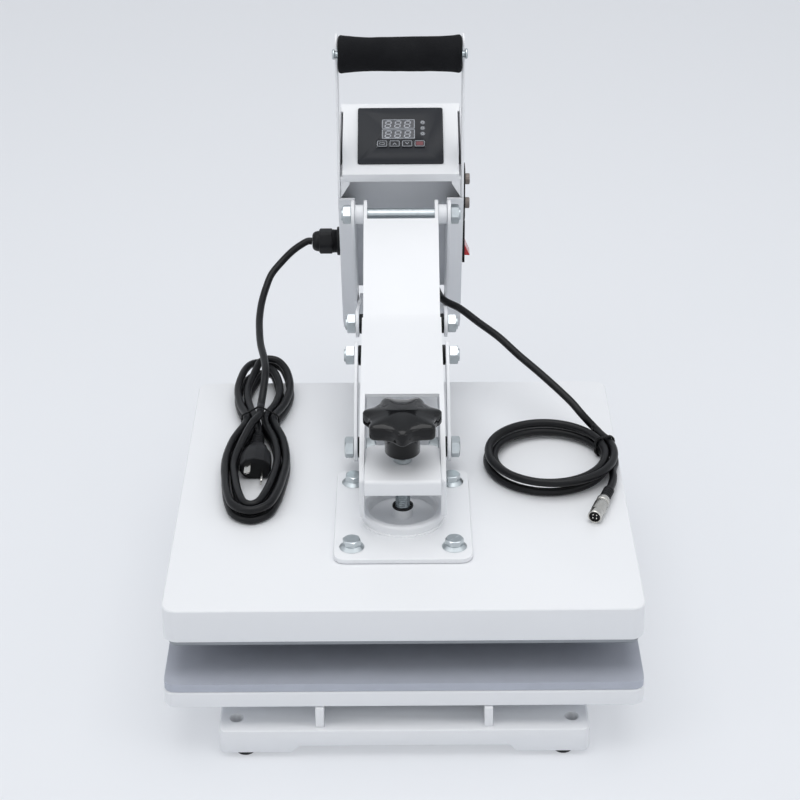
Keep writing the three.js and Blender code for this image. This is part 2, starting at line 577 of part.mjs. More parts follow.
function wallBlank() {
  const armBack = wall.kinkY + wall.armDepth;
  const shoulderZ = face.bottomZ + (armBack - face.bottomY) * Math.tan(faceAngle) + wall.shoulderRise;
  const shape = outline([
    lug(wall.footY, wall.footZ, wall.foot), [wall.rearY, wall.rearZ, wall.armRadius],
    [armBack, shoulderZ, wall.armRadius], [armBack, wall.armTop, wall.armRadius],
    [wall.kinkY, wall.armTop, wall.armRadius], [wall.kinkY, wall.kinkZ, wall.foot]]);
  const top = wall.kinkZ + clearance;
  const reach = stripReach + clearance * Math.hypot(1, wallSlope);
  const flangeRoom = new THREE.Shape([
    [frontEdgeY(top) - overrun, top], [frontEdgeY(0) - overrun, 0], [frontEdgeY(0) + reach, 0],
    [frontEdgeY(top) + reach, top]].map(([y, z]) => new THREE.Vector2(y, z)));
  const blank = alongX(shape, wallInner, wallOuter, clearance * 2);
  const screwHole = bore(handle.screw + clearance, handle);
  return cut(blank, alongX(flangeRoom, 0, wallOuter + overrun), screwHole);
}

function makeWalls() {
  const threadHole = bore(gland.threadRadius + clearance, gland);
  piece("side_wall_left", cut(mirrored(wallBlank()), threadHole), whitePaint);
  const tubHalf = { y: rocker.halfWidth + 2 * clearance + bezel.tubWall,
      z: rocker.halfLength + bezel.play + bezel.tubWall };
  const tubHole = rectangle(rocker.y - tubHalf.y - clearance, rocker.z - tubHalf.z - clearance,
    rocker.y + tubHalf.y + clearance, rocker.z + tubHalf.z + clearance);
  const stemHoles = [-1, 1].map((sign) => bore(fuse.stem + clearance, { y: fuse.y,
      z: fuse.z + sign * fuse.capZ }, 0));
  piece("side_wall_right", cut(wallBlank(), alongX(tubHole, 0, wallOuter + overrun), ...stemHoles),
      whitePaint);
}

// Handle: a steel bar in a foam grip, screwed between the walls' arms
function makeHandle() {
  const half = wallInner - clearance;
  const head = wallOuter + clearance;
  const screwAndHead = toSolid(turned([
    [0, half - handle.barRadius], [handle.screw, half - handle.barRadius], [handle.screw, head],
    [handleHead.radius, head], [handleHead.radius, head + handleHead.height - handleHead.edge],
    [handleHead.radius - handleHead.edge, head + handleHead.height], [0, head + handleHead.height]], 16));
  const socket = toSolid(new THREE.CylinderGeometry(handleHead.socket, handleHead.socket,
      2 * handleHead.socketDepth, 6)
    .rotateX(Math.PI / 2).translate(0, 0, head + handleHead.height));
  const core = onSide(toSolid(disc(handle.barRadius, -half, half)), handle);
  piece("handle_bar", join(core, bothSides(onSide(cut(screwAndHead, socket), handle))), zinc);
  const gripBore = handle.barRadius + clearance;
  const rows = 8;
  const profile = [[gripBore, -half]];
  for (let i = 0; i <= rows; i += 1) {
    const share = (2 * i) / rows - 1;
    profile.push([handle.waist + (handle.flare - handle.waist) * share ** 4, share * half]);
  }
  profile.push([gripBore, half], [gripBore, -half]);
  piece("handle_grip", onSide(toSolid(turned(profile)), handle), foam);
}

// Places on the sloping face: x across, s up the slope, h above it
const facePlace = new THREE.Matrix4().makeRotationX(faceAngle).setPosition(0, face.bottomY, face.bottomZ);
const onFace = (shape, h0, h1, edge) => toSolid(extrude(shape, h1 - h0, edge, 2).translate(0, 0,
    h0).applyMatrix4(facePlace));

// Control housing: folded sheet with its face, lip and recessed inner wall
function makeHousing() {
  const half = wallInner - clearance;
  const shelfZ = face.bottomZ + (lip.shelfY - face.bottomY) * Math.tan(faceAngle) - lip.shelfRise;
  const path = [
    [face.topY, face.topZ], [face.bottomY, face.bottomZ], [face.bottomY + lip.back, face.bottomZ - lip.drop],
    [lip.shelfY, shelfZ - sheet], [innerWallY(inner.kneeZ), inner.kneeZ], [innerWallY(inner.bottomZ),
        inner.bottomZ]];
  const folded = alongX(bentSheet(path, sheet), -half, half);
  const slot = rectangle(face.half, -overrun, half + overrun, faceLength - overrun / 2);
  const slots = bothSides(onFace(slot, -lip.shelfRise + sheet, overrun));
  const lipBack = face.bottomY + lip.back;
  const lipBottom = face.bottomZ - lip.drop;
  const flap = alongY(outline([
    [half - clearance, gusset.bottomZ, 0], [half - clearance, lipBottom + sheet, 0],
    [gusset.inner, lipBottom + sheet, 0], [gusset.inner, lipBottom - sheet, sheet]]),
  lipBack, lipBack + gusset.thickness);
  const hole = toSolid(disc(outlet.radius, -overrun, overrun, 16).applyMatrix4(outletPlace()));
  piece("control_housing", cut(join(cut(folded, slots), bothSides(flap)), hole), whitePaint);
}

// The outlet's frame: its +Z looks forwards out of the inner wall
function outletPlace() {
  const lean = Math.atan(wallSlope);
  return new THREE.Matrix4().makeRotationX(Math.PI / 2 + lean)
    .setPosition(outlet.x, innerWallY(outlet.z) + stripReach, outlet.z);
}

function makeBackCover() {
  const half = wallInner - clearance;
  const turn = backCover.turnIn;
  const path = [
    [backCover.bottomY - turn, backCover.bottomZ], [backCover.bottomY, backCover.bottomZ],
    [backCover.topY, backCover.topZ]];
  piece("back_cover", alongX(bentSheet(path, sheet), -half, half), whitePaint);
}

// Black panel overlay with two recessed displays and four sprung keys
function makePanel() {
  const half = overlay.half;
  const plate = onFace(rectangle(-half, overlay.from, half, overlay.to, overlay.cornerRadius),
    clearance, clearance + overlay.thickness);
  const top = clearance + overlay.thickness;
  const glass = (from, to) => onFace(
    rectangle(displayWindow.x - displayWindow.half, from, displayWindow.x + displayWindow.half, to),
    top - displayWindow.depth, top + overrun);
  const room = (index, gap) => {
    const x = key.firstX + index * key.pitch;
    const w = key.width / 2 + gap;
    const l = key.length / 2 + gap;
    return rectangle(x - w, key.along - l, x + w, key.along + l, 1 + gap);
  };
  const indices = Array.from({ length: key.count }, (_, index) => index);
  const keyholes = indices.map((index) => onFace(room(index, clearance), -clearance / 2, overrun));
  piece("panel_overlay", cut(plate, glass(displayWindow.lowerFrom, displayWindow.lowerTo),
    glass(displayWindow.upperFrom, displayWindow.upperTo), ...keyholes), panelBlack);
  for (const index of indices) {
    const cap = onFace(room(index, 0), key.under, key.under + key.height, clearance);
    piece(`key_${index + 1}`, cap, index === key.count - 1 ? redPlastic : blackPlastic);
  }
}

// Gland on the left wall: threaded body, hexagon nut and dome
const glandFace = wallOuter + clearance + gland.flangeHeight + gland.neckHeight + gland.nutHeight
    + gland.domeHeight;

function makeGland() {
  const base = wallOuter + clearance;
  const neckTop = base + gland.flangeHeight + gland.neckHeight;
  const body = toSolid(turned([
    [0, wallInner - gland.thread], [gland.threadRadius, wallInner - gland.thread], [gland.threadRadius,
        base],
    [gland.flange, base], [gland.flange, base + gland.flangeHeight], [gland.neck, base + gland.flangeHeight],
    [gland.neck, neckTop], [0, neckTop]]));
  const nutTop = neckTop + gland.nutHeight;
  const dome = toSolid(turned([
    [0, nutTop - 1], [gland.dome + 1, nutTop - 1], [gland.dome, nutTop + gland.domeHeight * 0.4],
    [gland.dome * 0.8, nutTop + gland.domeHeight * 0.8], [gland.domeTip, glandFace], [0, glandFace]]));
  const capNut = join(hexagon(gland.flats, neckTop, nutTop), dome);
  piece("cord_gland", mirrored(onSide(join(body, capNut), gland)), blackPlastic);
}

function makeFuses() {
  const base = wallOuter + clearance;
  const top = base + fuse.thickness;
  const shape = rectangle(fuse.y - fuse.width / 2, fuse.z - fuse.height / 2,
    fuse.y + fuse.width / 2, fuse.z + fuse.height / 2, fuse.stem);
  const places = [["upper", fuse.z + fuse.capZ], ["lower", fuse.z - fuse.capZ]];
  const holes = places.map(([, z]) => bore(fuse.stem + clearance, { y: fuse.y, z }, 0));
  piece("fuse_plate", cut(alongX(shape, base, top, clearance), ...holes), blackPlastic);
  for (const [level, z] of places) {
    const seat = top + clearance;
    const cap = toSolid(turned([
      [0, wallInner], [fuse.stem, wallInner], [fuse.stem, seat], [fuse.cap, seat],
      [fuse.cap, seat + fuse.capHeight - fuse.capEdge], [fuse.cap - fuse.capEdge,
          seat + fuse.capHeight], [0, seat + fuse.capHeight]], 20));
    const slot = toSolid(new THREE.BoxGeometry(fuse.capHeight * 0.6, 2 * fuse.cap + 1, 1)
      .translate(seat + fuse.capHeight, 0, 0));
    const knurled = cut(onSide(cap, { y: 0, z: 0 }), slot).translate([0, fuse.y, z]);
    piece(`fuse_cap_${level}`, knurled, blackPlastic);
  }
}

// Rocker switch: a red rocker pinned in a bezel whose tub passes through the wall
function makeSwitch() {
  const tubY = rocker.halfWidth + 2 * clearance;
  const tubZ = rocker.halfLength + bezel.play;
  const tubBack = rockerPivotX - bezel.tubDepth;
  const box = (y, z, x0, x1, fillet = 0) => alongX(
    rectangle(rocker.y - y, rocker.z - z, rocker.y + y, rocker.z + z, fillet), x0, x1);
  const base = wallOuter + clearance;
  const frameTop = base + bezel.thickness;
  const frame = alongX(rectangle(rocker.y - bezel.halfWidth, rocker.z - bezel.halfHeight,
    rocker.y + bezel.halfWidth, rocker.z + bezel.halfHeight, 2 * clearance), base, frameTop, clearance);
  const tub = box(tubY + bezel.tubWall, tubZ + bezel.tubWall, tubBack, base + clearance);
  const room = box(tubY, tubZ, tubBack + bezel.tubWall, frameTop + overrun);
  const pinLength = rocker.halfWidth + 2 * clearance + rockerPin.length;
  const pivot = (radius, half) => toSolid(disc(radius, -half, half, 12).rotateX(Math.PI / 2))
    .translate([rockerPivotX, rocker.y, rocker.z]);
  const pinHole = pivot(rockerPin.radius + clearance, pinLength + overrun);
  piece("switch_bezel", cut(join(frame, tub), room, pinHole), blackPlastic);
  const corners = [
    [rocker.tip, rocker.halfLength], [rocker.waist, 0], [rocker.tip, -rocker.halfLength],
    [-rocker.tip / 3, -rocker.shoulder], [-rocker.depth, -rocker.depth], [-rocker.depth, rocker.depth],
    [-rocker.tip / 3, rocker.shoulder]];
  const middle = new THREE.Vector2();
  const section = new THREE.Shape(corners.map(([x, z]) => new THREE.Vector2(x, z).rotateAround(middle,
      rockerTilt)));
  const body = alongY(section, -rocker.halfWidth, rocker.halfWidth, clearance)
    .translate([rockerPivotX, rocker.y, rocker.z]);
  piece("rocker", join(body, pivot(rockerPin.radius, pinLength)), redPlastic);
}

// A closed tube through points: each ring lies in the plane that halves the bend there
function tube(points, radius, sides) {
  const count = points.length;
  const along = (i) => points[Math.min(i + 1, count - 1)].clone().sub(points[Math.max(i - 1,
      0)]).normalize();
  const positions = [];
  const triangles = [];
  let up = new THREE.Vector3(0, 0, 1);
  points.forEach((point, i) => {
    const tangent = along(i);
    up = up.clone().addScaledVector(tangent, -up.dot(tangent)).normalize();
    const side = new THREE.Vector3().crossVectors(tangent, up);
    for (let j = 0; j < sides; j += 1) {
      const angle = (2 * Math.PI * (j + 0.5)) / sides;
      const corner = point.clone().addScaledVector(up, radius * Math.cos(angle))
        .addScaledVector(side, radius * Math.sin(angle));
      positions.push(corner.x, corner.y, corner.z);
    }
  });
  for (let i = 0; i < count - 1; i += 1) {
    for (let j = 0; j < sides; j += 1) {
      const next = (j + 1) % sides;
      const a = i * sides + j;
      const b = i * sides + next;
      triangles.push(a, a + sides, b, b, a + sides, b + sides);
    }
  }
  for (let j = 1; j < sides - 1; j += 1) {
    const last = (count - 1) * sides;
    triangles.push(0, j, j + 1, last, last + j + 1, last + j);
  }
  const geometry = new THREE.BufferGeometry();
  geometry.setAttribute("position", new THREE.Float32BufferAttribute(positions, 3));
  geometry.setIndex(triangles);
  geometry.userData.welded = true;
  const solid = toSolid(geometry);
  return solid.volume() > 0 ? solid : toSolid(flipped(geometry));
}

function flipped(geometry) {
  const index = geometry.index.array;
  for (let i = 0; i < index.length; i += 3) {
    [index[i], index[i + 1]] = [index[i + 1], index[i]];
  }
  return geometry;
}

// The least gap of a wound tube to itself, measured on points along its centre line
function selfGap(points, radius) {
  const step = radius / 2;
  const line = [];
  points.slice(1).forEach((point, i) => {
    const pieces = Math.ceil(point.distanceTo(points[i]) / step);
    for (let j = 0; j < pieces; j += 1) {
      line.push(points[i].clone().lerp(point, j / pieces));
    }
  });
  const skip = Math.ceil((8 * radius) / step);
  let least = Infinity;
  for (let i = 0; i < line.length; i += 1) {
    for (let j = i + skip; j < line.length; j += 1) {
      least = Math.min(least, line[i].distanceTo(line[j]));
    }
  }
  return least - 2 * radius;
}

const vectors = (rows) => rows.map(([x, y, z]) => new THREE.Vector3(x, y, z));

// Free stretch of a cord: a round tube that follows its hand-chosen points
function freeCord(name, points) {
  const curve = new THREE.CatmullRomCurve3(points, false, "centripetal");
  const section = new THREE.Shape();
  section.absarc(0, 0, cordRadius, 0, 2 * Math.PI, false);
  const steps = Math.round(curve.getLength() / (5 * cordRadius));
  const geometry = new THREE.ExtrudeGeometry(section, { steps, extrudePath: curve, curveSegments: 4 });
  piece(name, toSolid(geometry), cordBlack);
}

// Where the tie crosses the loops: on their right at each whole turn, on their left half a turn later
const tieAngle = Math.asin((hank.tieY - hank.y) / hank.halfLength);

// Hank: pinched loops whose strands keep a square's spacing, turning a quarter each loop
function hankBase(angle) {
  const y = hank.y + hank.halfLength * Math.sin(angle);
  const narrow = Math.exp(-(((y - hank.tieY) / hank.pinch) ** 2));
  const wide = hank.half + (hank.waistHalf - hank.half) * narrow;
  const rounding = Math.sign(Math.cos(angle)) * Math.abs(Math.cos(angle)) ** hank.squareness;
  return { x: hank.x + wide * rounding, y, narrow };
}

function hankPoint(fraction) {
  const angle = 2 * Math.PI * fraction + tieAngle * Math.cos(2 * Math.PI * fraction);
  const base = hankBase(angle);
  const before = hankBase(angle - 0.01);
  const after = hankBase(angle + 0.01);
  const length = Math.hypot(after.x - before.x, after.y - before.y);
  const outward = { x: (after.y - before.y) / length, y: (before.x - after.x) / length };
  const passed = fraction - Math.floor(fraction);
  const roll = (Math.PI / 2) * (THREE.MathUtils.smoothstep(passed, 0.1, 0.4) + 0.5);
  const phase = roll + (Math.PI / 2) * Math.floor(fraction);
  const reach = Math.max(Math.abs(Math.sin(roll)), Math.abs(Math.cos(roll)));
  const fan = Math.sin(angle) > 0 ? hank.farFan : hank.nearFan;
  const spread = hank.offset + fan * THREE.MathUtils.smoothstep(Math.abs(Math.sin(angle)), 0.4, 0.9);
  const out = spread * Math.cos(phase);
  const z = coverTop + clearance + cordRadius + spread * (reach + Math.sin(phase))
      + hank.waistLift * base.narrow;
  return new THREE.Vector3(base.x + outward.x * out, base.y + outward.y * out, z);
}

function hankPath() {
  const slot = hankPoint(0.5);
  const top = slot.z + 7.4;
  const entry = vectors([
    [hank.x, hank.tieY + hank.straight, top], [hank.x, hank.tieY, top], [hank.x - 1.2, hank.tieY - 9,
        top + 0.6],
    [hank.x - 6, hank.tieY - 20, top + 0.2]]);
  const loops = [];
  const first = hank.steps / 2 + 2;
  const last = (hank.turns + 0.5) * hank.steps;
  for (let i = first; i <= last; i += 1) {
    loops.push(hankPoint(i / hank.steps));
  }
  const axis = plugAxisZ;
  const exit = vectors([
    [hank.x - 1.8, hank.tieY - 9, (slot.z + axis) / 2], [hank.x, hank.tieY - 16, axis],
    [hank.x, plug.reliefBackY + hank.straight / 2, axis], [hank.x, plug.reliefBackY + clearance, axis]]);
  return [...entry, ...loops, ...exit];
}

const plugAxisZ = coverTop + clearance + plug.height / 2;

function makeHank() {
  const points = hankPath();
  console.log(`hank: least gap to itself ${selfGap(points, cordRadius).toFixed(2)} mm`);
  piece("power_cord_hank", tube(points, cordRadius, 6), cordBlack);
  return points;
}

function makeHankTie(start) {
  const row = hankPoint(0.5);
  const outerX = hank.waistHalf + hank.offset * Math.SQRT1_2;
  const lowZ = row.z - 2 * hank.offset * Math.SQRT1_2;
  const reach = cordRadius + hankTie.slack;
  const belt = (radius) => [
    lug(hank.x - outerX, lowZ, radius), lug(hank.x + outerX, lowZ, radius), lug(hank.x + outerX, row.z,
        radius),
    lug(hank.x, start.z, radius), lug(hank.x - outerX, row.z, radius)];
  const band = outline(belt(reach + hankTie.wire));
  band.holes.push(tracePath(new THREE.Path(), belt(reach)));
  piece("hank_tie", alongY(band, hank.tieY - hankTie.halfWidth, hank.tieY + hankTie.halfWidth),
      blackPlastic);
}

// Plug: flat-backed body with a ribbed relief and two slanted blades
function makePlug() {
  const low = coverTop + clearance;
  const high = low + plug.height;
  const plan = outline([
    [-plug.faceHalf, plug.faceY, 2], [plug.faceHalf, plug.faceY, 2], [plug.faceHalf, plug.shoulderY, 5],
    [plug.backHalf, plug.reliefFrontY, 2], [-plug.backHalf, plug.reliefFrontY, 2], [-plug.faceHalf,
        plug.shoulderY, 5]]);
  const front = outline([
    [-plug.faceHalf, low, 8], [plug.faceHalf, low, 8], [plug.faceHalf, high, 8], [-plug.faceHalf, high, 8]]);
  const body = alongZ(plan, low, high, plug.flare)
    .intersect(alongY(front, plug.faceY - overrun, plug.reliefBackY));
  const reliefLength = plug.reliefBackY - plug.reliefFrontY;
  const rib = reliefLength / 6;
  const ribs = [0, 1, 2].flatMap((i) => [
    [plug.reliefRadius, i * 2 * rib], [plug.reliefRadius, (i * 2 + 1) * rib],
    [plug.reliefRadius - 1, (i * 2 + 1.2) * rib], [plug.reliefRadius - 1, (i * 2 + 1.8) * rib]]);
  const relief = new THREE.LatheGeometry([[0, -2], [plug.reliefRadius, -2], ...ribs.slice(1),
    [plug.reliefRadius - 1, reliefLength], [0, reliefLength]].map(([r, h]) => new THREE.Vector2(r, h)), 14)
    .translate(0, plug.reliefFrontY, plugAxisZ);
  const blades = [-1, 1].map((sign) => toSolid(
    new THREE.BoxGeometry(plug.bladeThickness, plug.bladeLength + 2, plug.bladeWidth)
      .rotateY(-sign * plug.bladeTilt)
      .translate(sign * plug.bladeX, plug.faceY - plug.bladeLength / 2 + 1, 0)
      .rotateY(plug.roll)
      .translate(0, 0, plugAxisZ)));
  piece("plug", join(body, toSolid(relief), ...blades).translate([hank.x, 0, 0]), blackPlastic);
}

// Coil: three turns whose strands keep a quarter turn apart around the bundle
const coilZ = coverTop + clearance + cordRadius + coil.offset;

function coilPoint(turned0) {
  const angle = coilTieAngle - 2 * Math.PI * turned0;
  const phase = (Math.PI / 2) * turned0 + Math.PI / 4;
  const radius = coil.radius + coil.offset * Math.cos(phase);
  return new THREE.Vector3(coil.x + radius * Math.cos(angle), coil.y + radius * Math.sin(angle),
    coilZ + coil.offset * Math.sin(phase));
}

function coilPath() {
  const first = (coilTieAngle - coilStartAngle) / (2 * Math.PI);
  const count = Math.round(coil.turns * coil.steps);
  const points = [];
  for (let i = 0; i <= count; i += 1) {
    points.push(coilPoint(first + (coil.turns * i) / count));
  }
  const start = points[0].clone().add(points[0].clone().sub(points[1]).setLength(coil.straight));
  start.z += coil.startRise;
  const end = new THREE.Vector3(connector.fromX, connector.fromY, connectorZ);
  const heading = new THREE.Vector3(connector.toX - connector.fromX, connector.toY - connector.fromY,
      0).normalize();
  const beforeEnd = end.clone().addScaledVector(heading, -coil.straight);
  const faceEnd = end.clone().addScaledVector(heading, -clearance);
  const last = points[points.length - 1];
  const mid = last.clone().lerp(beforeEnd, 0.5);
  mid.x += 1.2;
  return [start, ...points, mid, beforeEnd, faceEnd];
}

const connectorZ = coverTop + clearance + connector.body;

function makeCoil() {
  const points = coilPath();
  console.log(`coil: least gap to itself ${selfGap(points, cordRadius).toFixed(2)} mm`);
  piece("sensor_coil", tube(points, cordRadius, 6), cordBlack);
  const place = coil.offset * Math.SQRT1_2;
  const reach = cordRadius + clearance;
  const belt = (radius) => [
    lug(-place, -place, radius), lug(place, -place, radius), lug(place, place, radius), lug(-place,
        place, radius)];
  const band = outline(belt(reach + coilTie.wire));
  band.holes.push(tracePath(new THREE.Path(), belt(reach)));
  const loop = alongY(band, -coilTie.halfWidth, coilTie.halfWidth)
    .translate([coil.radius, 0, coilZ])
    .rotate([0, 0, THREE.MathUtils.radToDeg(coilTieAngle)])
    .translate([coil.x, coil.y, 0]);
  piece("coil_tie", loop, blackPlastic);
  return points;
}

// Round cable connector with its sleeve, coupling ring and four pins
function makeConnector() {
  const total = Math.hypot(connector.toX - connector.fromX, connector.toY - connector.fromY);
  const s = connector.sleeveLength;
  const g = connector.grooveLength;
  const body = turned([
    [0, 0], [connector.sleeve, 0], [connector.sleeve, s], [connector.collar, s], [connector.collar,
        s + 3 * g],
    [connector.groove, s + 3 * g], [connector.groove, s + 4 * g], [connector.body, s + 4 * g],
    [connector.body, total], [connector.face, total], [connector.face, total - connector.faceDepth],
    [0, total - connector.faceDepth]], 20);
  const pins = [0, 1, 2, 3].map((i) => {
    const angle = (Math.PI / 2) * (i + 0.5);
    return toSolid(disc(connector.pin, total - connector.faceDepth - 1, total - clearance, 8)
      .translate(connector.pinSpread * Math.cos(angle), connector.pinSpread * Math.sin(angle), 0));
  });
  const turn = THREE.MathUtils.radToDeg(Math.atan2(connector.toY - connector.fromY,
      connector.toX - connector.fromX));
  const solid = join(toSolid(body), ...pins).rotate([0, 90, 0]).rotate([0, 0, turn])
    .translate([connector.fromX, connector.fromY, connectorZ]);
  piece("connector", solid, nickel);
}

// The last two points of a free stretch that meets a wound tube's start face to face
function leadTo([start, next]) {
  const back = start.clone().sub(next).normalize();
  return [start.clone().addScaledVector(back, 2 * cordRadius), start.clone().addScaledVector(back,
      clearance)];
}

// Free stretches, from the gland to the hank and from the outlet to the coil
function makeFreeCords(hankStart, coilStart) {
  const route = vectors([
    [-glandFace - clearance, 335, 229], [-95.5, 335, 229], [-102.5, 333, 226], [-112.1, 329, 220.2],
        [-122.4, 322, 212],
    [-132.6, 311, 203.2], [-138.1, 295, 194.6], [-141.4, 276, 187.8], [-142.4, 252, 182.4], [-141.7,
        235, 179.4],
    [-139.1, 207, 176.5], [-133.9, 177, 175.1], [-131.4, 154, 173.5], [-132.3, 131, 166.5]]);
  freeCord("power_cord_free", [...route, ...leadTo(hankStart)]);
  const wallY = innerWallY(outlet.z);
  const cable = vectors([
    [20, wallY + 1, 222.4], [20.2, wallY - 15, 215.4], [24, 325, 210], [33, 275, 208.6], [41.5, 236, 209.2],
    [57, 219, 208],
    [75.6, 196.5, 203], [94, 175, 198], [111.8, 153, 190], [130, 131, 183], [147.9, 109.5, 175], [160,
        95, 168.5],
    [168, 85, 162.5]]);
  freeCord("sensor_cable_free", [...cable, ...leadTo(coilStart)]);
}

makeFeet();
makeFootBar("front_foot_bar", bar.frontY, -1);
makeFootBar("rear_foot_bar", bar.rearY, 1, towers());
makeRails();
makeLowerPlaten();
makeHingePin();
makeUpperPlaten();
makeMount();
makeArm();
makeLinks();
makeRods();
makeSaddle();
makeKnob();
makeCheeks();
makeWalls();
makeHandle();
makeHousing();
makeBackCover();
makePanel();
makeGland();
makeFuses();
makeSwitch();
const hankStart = makeHank();
makeHankTie(hankStart[0]);
makePlug();
const coilStart = makeCoil();
makeConnector();
makeFreeCords(hankStart, coilStart);

const bounds = new THREE.Box3().setFromObject(object);
object.position.y = -(bar.frontY + bounds.max.y) / 2;

export default object;
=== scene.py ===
import math
from math import cos, pi, radians, sin

import bmesh
import bpy
from mathutils import Matrix, Vector, noise


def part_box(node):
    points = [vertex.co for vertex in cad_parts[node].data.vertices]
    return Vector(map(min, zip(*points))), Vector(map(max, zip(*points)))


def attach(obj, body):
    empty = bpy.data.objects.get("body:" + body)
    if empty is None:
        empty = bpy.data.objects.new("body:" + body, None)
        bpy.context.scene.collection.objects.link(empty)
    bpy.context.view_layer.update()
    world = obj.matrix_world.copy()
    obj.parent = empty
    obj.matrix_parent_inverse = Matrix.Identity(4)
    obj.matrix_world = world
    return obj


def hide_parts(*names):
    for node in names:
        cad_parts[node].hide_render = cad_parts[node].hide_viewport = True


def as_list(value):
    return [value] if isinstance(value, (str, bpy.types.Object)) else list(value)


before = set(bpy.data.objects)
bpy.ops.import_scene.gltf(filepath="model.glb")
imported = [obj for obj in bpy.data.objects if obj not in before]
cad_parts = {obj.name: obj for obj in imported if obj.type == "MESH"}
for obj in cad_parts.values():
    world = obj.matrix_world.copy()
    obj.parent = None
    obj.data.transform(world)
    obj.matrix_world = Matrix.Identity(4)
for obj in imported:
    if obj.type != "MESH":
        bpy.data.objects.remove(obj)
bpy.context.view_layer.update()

scene = bpy.context.scene
shiftY = -104.122  # the CAD source's Y = 0 lies this far from the middle of the footprint, in mm


def mm(x, y, z):
    return Vector((x, y + shiftY, z)) / 1000


def link(name, data):
    made = bpy.data.objects.new(name, data)
    scene.collection.objects.link(made)
    return made


# Camera, as the photograph was taken
photo = {
    "place": (0.0, -1.7051, 1.098),
    "pitch": 28.6,
    "roll": -0.37,
    "lens": 92.7,
    "shiftX": -0.0027,
}


def makeCamera():
    data = bpy.data.cameras.new("photoCamera")
    data.lens = photo["lens"]
    data.sensor_width = 36
    data.shift_x = photo["shiftX"]
    data.clip_end = 20
    camera = link("photoCamera", data)
    turn = Matrix.Rotation(radians(90 - photo["pitch"]), 4, "X")
    roll = Matrix.Rotation(radians(photo["roll"]), 4, "Z")
    camera.matrix_world = Matrix.Translation(Vector(photo["place"])) @ turn @ roll
    scene.camera = camera


makeCamera()
scene.view_settings.view_transform = "Standard"
print("camera in place")


# Node trees: an input takes a value, or the output that feeds it
def feed(tree, node, inputs):
    for key, value in inputs.items():
        if isinstance(value, bpy.types.NodeSocket):
            tree.links.new(value, node.inputs[key])
        else:
            node.inputs[key].default_value = value


def addNode(tree, kind, inputs=None, **settings):
    node = tree.nodes.new(kind)
    for key, value in settings.items():
        setattr(node, key, value)
    feed(tree, node, inputs or {})
    return node


def mathNode(tree, operation, *values):
    return addNode(tree, "ShaderNodeMath", dict(enumerate(values)), operation=operation).outputs[0]


# Shader node groups that several finishes share
def newGroup(name, inputs, *outputs):
    tree = bpy.data.node_groups.new(name, "ShaderNodeTree")
    tree.interface.new_socket(name="Vector", in_out="INPUT", socket_type="NodeSocketVector")
    for label, value in inputs.items():
        socket = tree.interface.new_socket(name=label, in_out="INPUT", socket_type="NodeSocketFloat")
        socket.default_value = value
    for label in outputs:
        tree.interface.new_socket(name=label, in_out="OUTPUT", socket_type="NodeSocketFloat")
    return tree, tree.nodes.new("NodeGroupInput").outputs, tree.nodes.new("NodeGroupOutput")


def mottleGroup():  # broad clouds of colour, from 1 - Spread to 1
    tree, given, made = newGroup("mottle", {"Scale": 20.0, "Spread": 0.05}, "Shade", "Mask")
    cloud = addNode(tree, "ShaderNodeTexNoise", {"Vector": given["Vector"], "Scale": given["Scale"],
                                                 "Detail": 5})
    spread = mathNode(tree, "MULTIPLY", cloud.outputs["Fac"], given["Spread"])
    feed(tree, made, {"Shade": mathNode(tree, "SUBTRACT", 1.0, spread), "Mask": cloud.outputs["Fac"]})
    return tree


def grainGroup():  # fine skin: pits of a moulding or the orange peel of a powder coat
    tree, given, made = newGroup("grain", {"Scale": 900.0, "Cells": 0.5}, "Height")
    place = {"Vector": given["Vector"], "Scale": given["Scale"]}
    fine = addNode(tree, "ShaderNodeTexNoise", {**place, "Detail": 3}).outputs["Fac"]
    cells = addNode(tree, "ShaderNodeTexVoronoi", place).outputs["Distance"]
    mix = addNode(tree, "ShaderNodeMix", {0: given["Cells"], 2: fine, 3: cells}, data_type="FLOAT")
    feed(tree, made, {"Height": mix.outputs[0]})
    return tree


def edgeGroup():  # convex edges, broken up, where a coat is thin or a skin is rubbed
    tree, given, made = newGroup("edgeRub", {"Amount": 0.3}, "Mask")
    pointed = addNode(tree, "ShaderNodeNewGeometry").outputs["Pointiness"]
    ramp = addNode(tree, "ShaderNodeMapRange", {"From Min": 0.52, "From Max": 0.62, "Value": pointed})
    broken = addNode(tree, "ShaderNodeTexNoise", {"Vector": given["Vector"], "Scale": 160})
    product = mathNode(tree, "MULTIPLY", ramp.outputs["Result"], broken.outputs["Fac"])
    feed(tree, made, {"Mask": mathNode(tree, "MULTIPLY", product, given["Amount"])})
    return tree


mottle, grain, edgeRub = mottleGroup(), grainGroup(), edgeGroup()


def placeGroup(tree, group, where, **values):
    return addNode(tree, "ShaderNodeGroup", {"Vector": where, **values}, node_tree=group).outputs


def srgb(text):
    def linear(c):
        return c / 12.92 if c <= 0.04045 else ((c + 0.055) / 1.055) ** 2.4

    return tuple(linear(int(text[i : i + 2], 16) / 255) for i in (0, 2, 4))


slotOf = {}


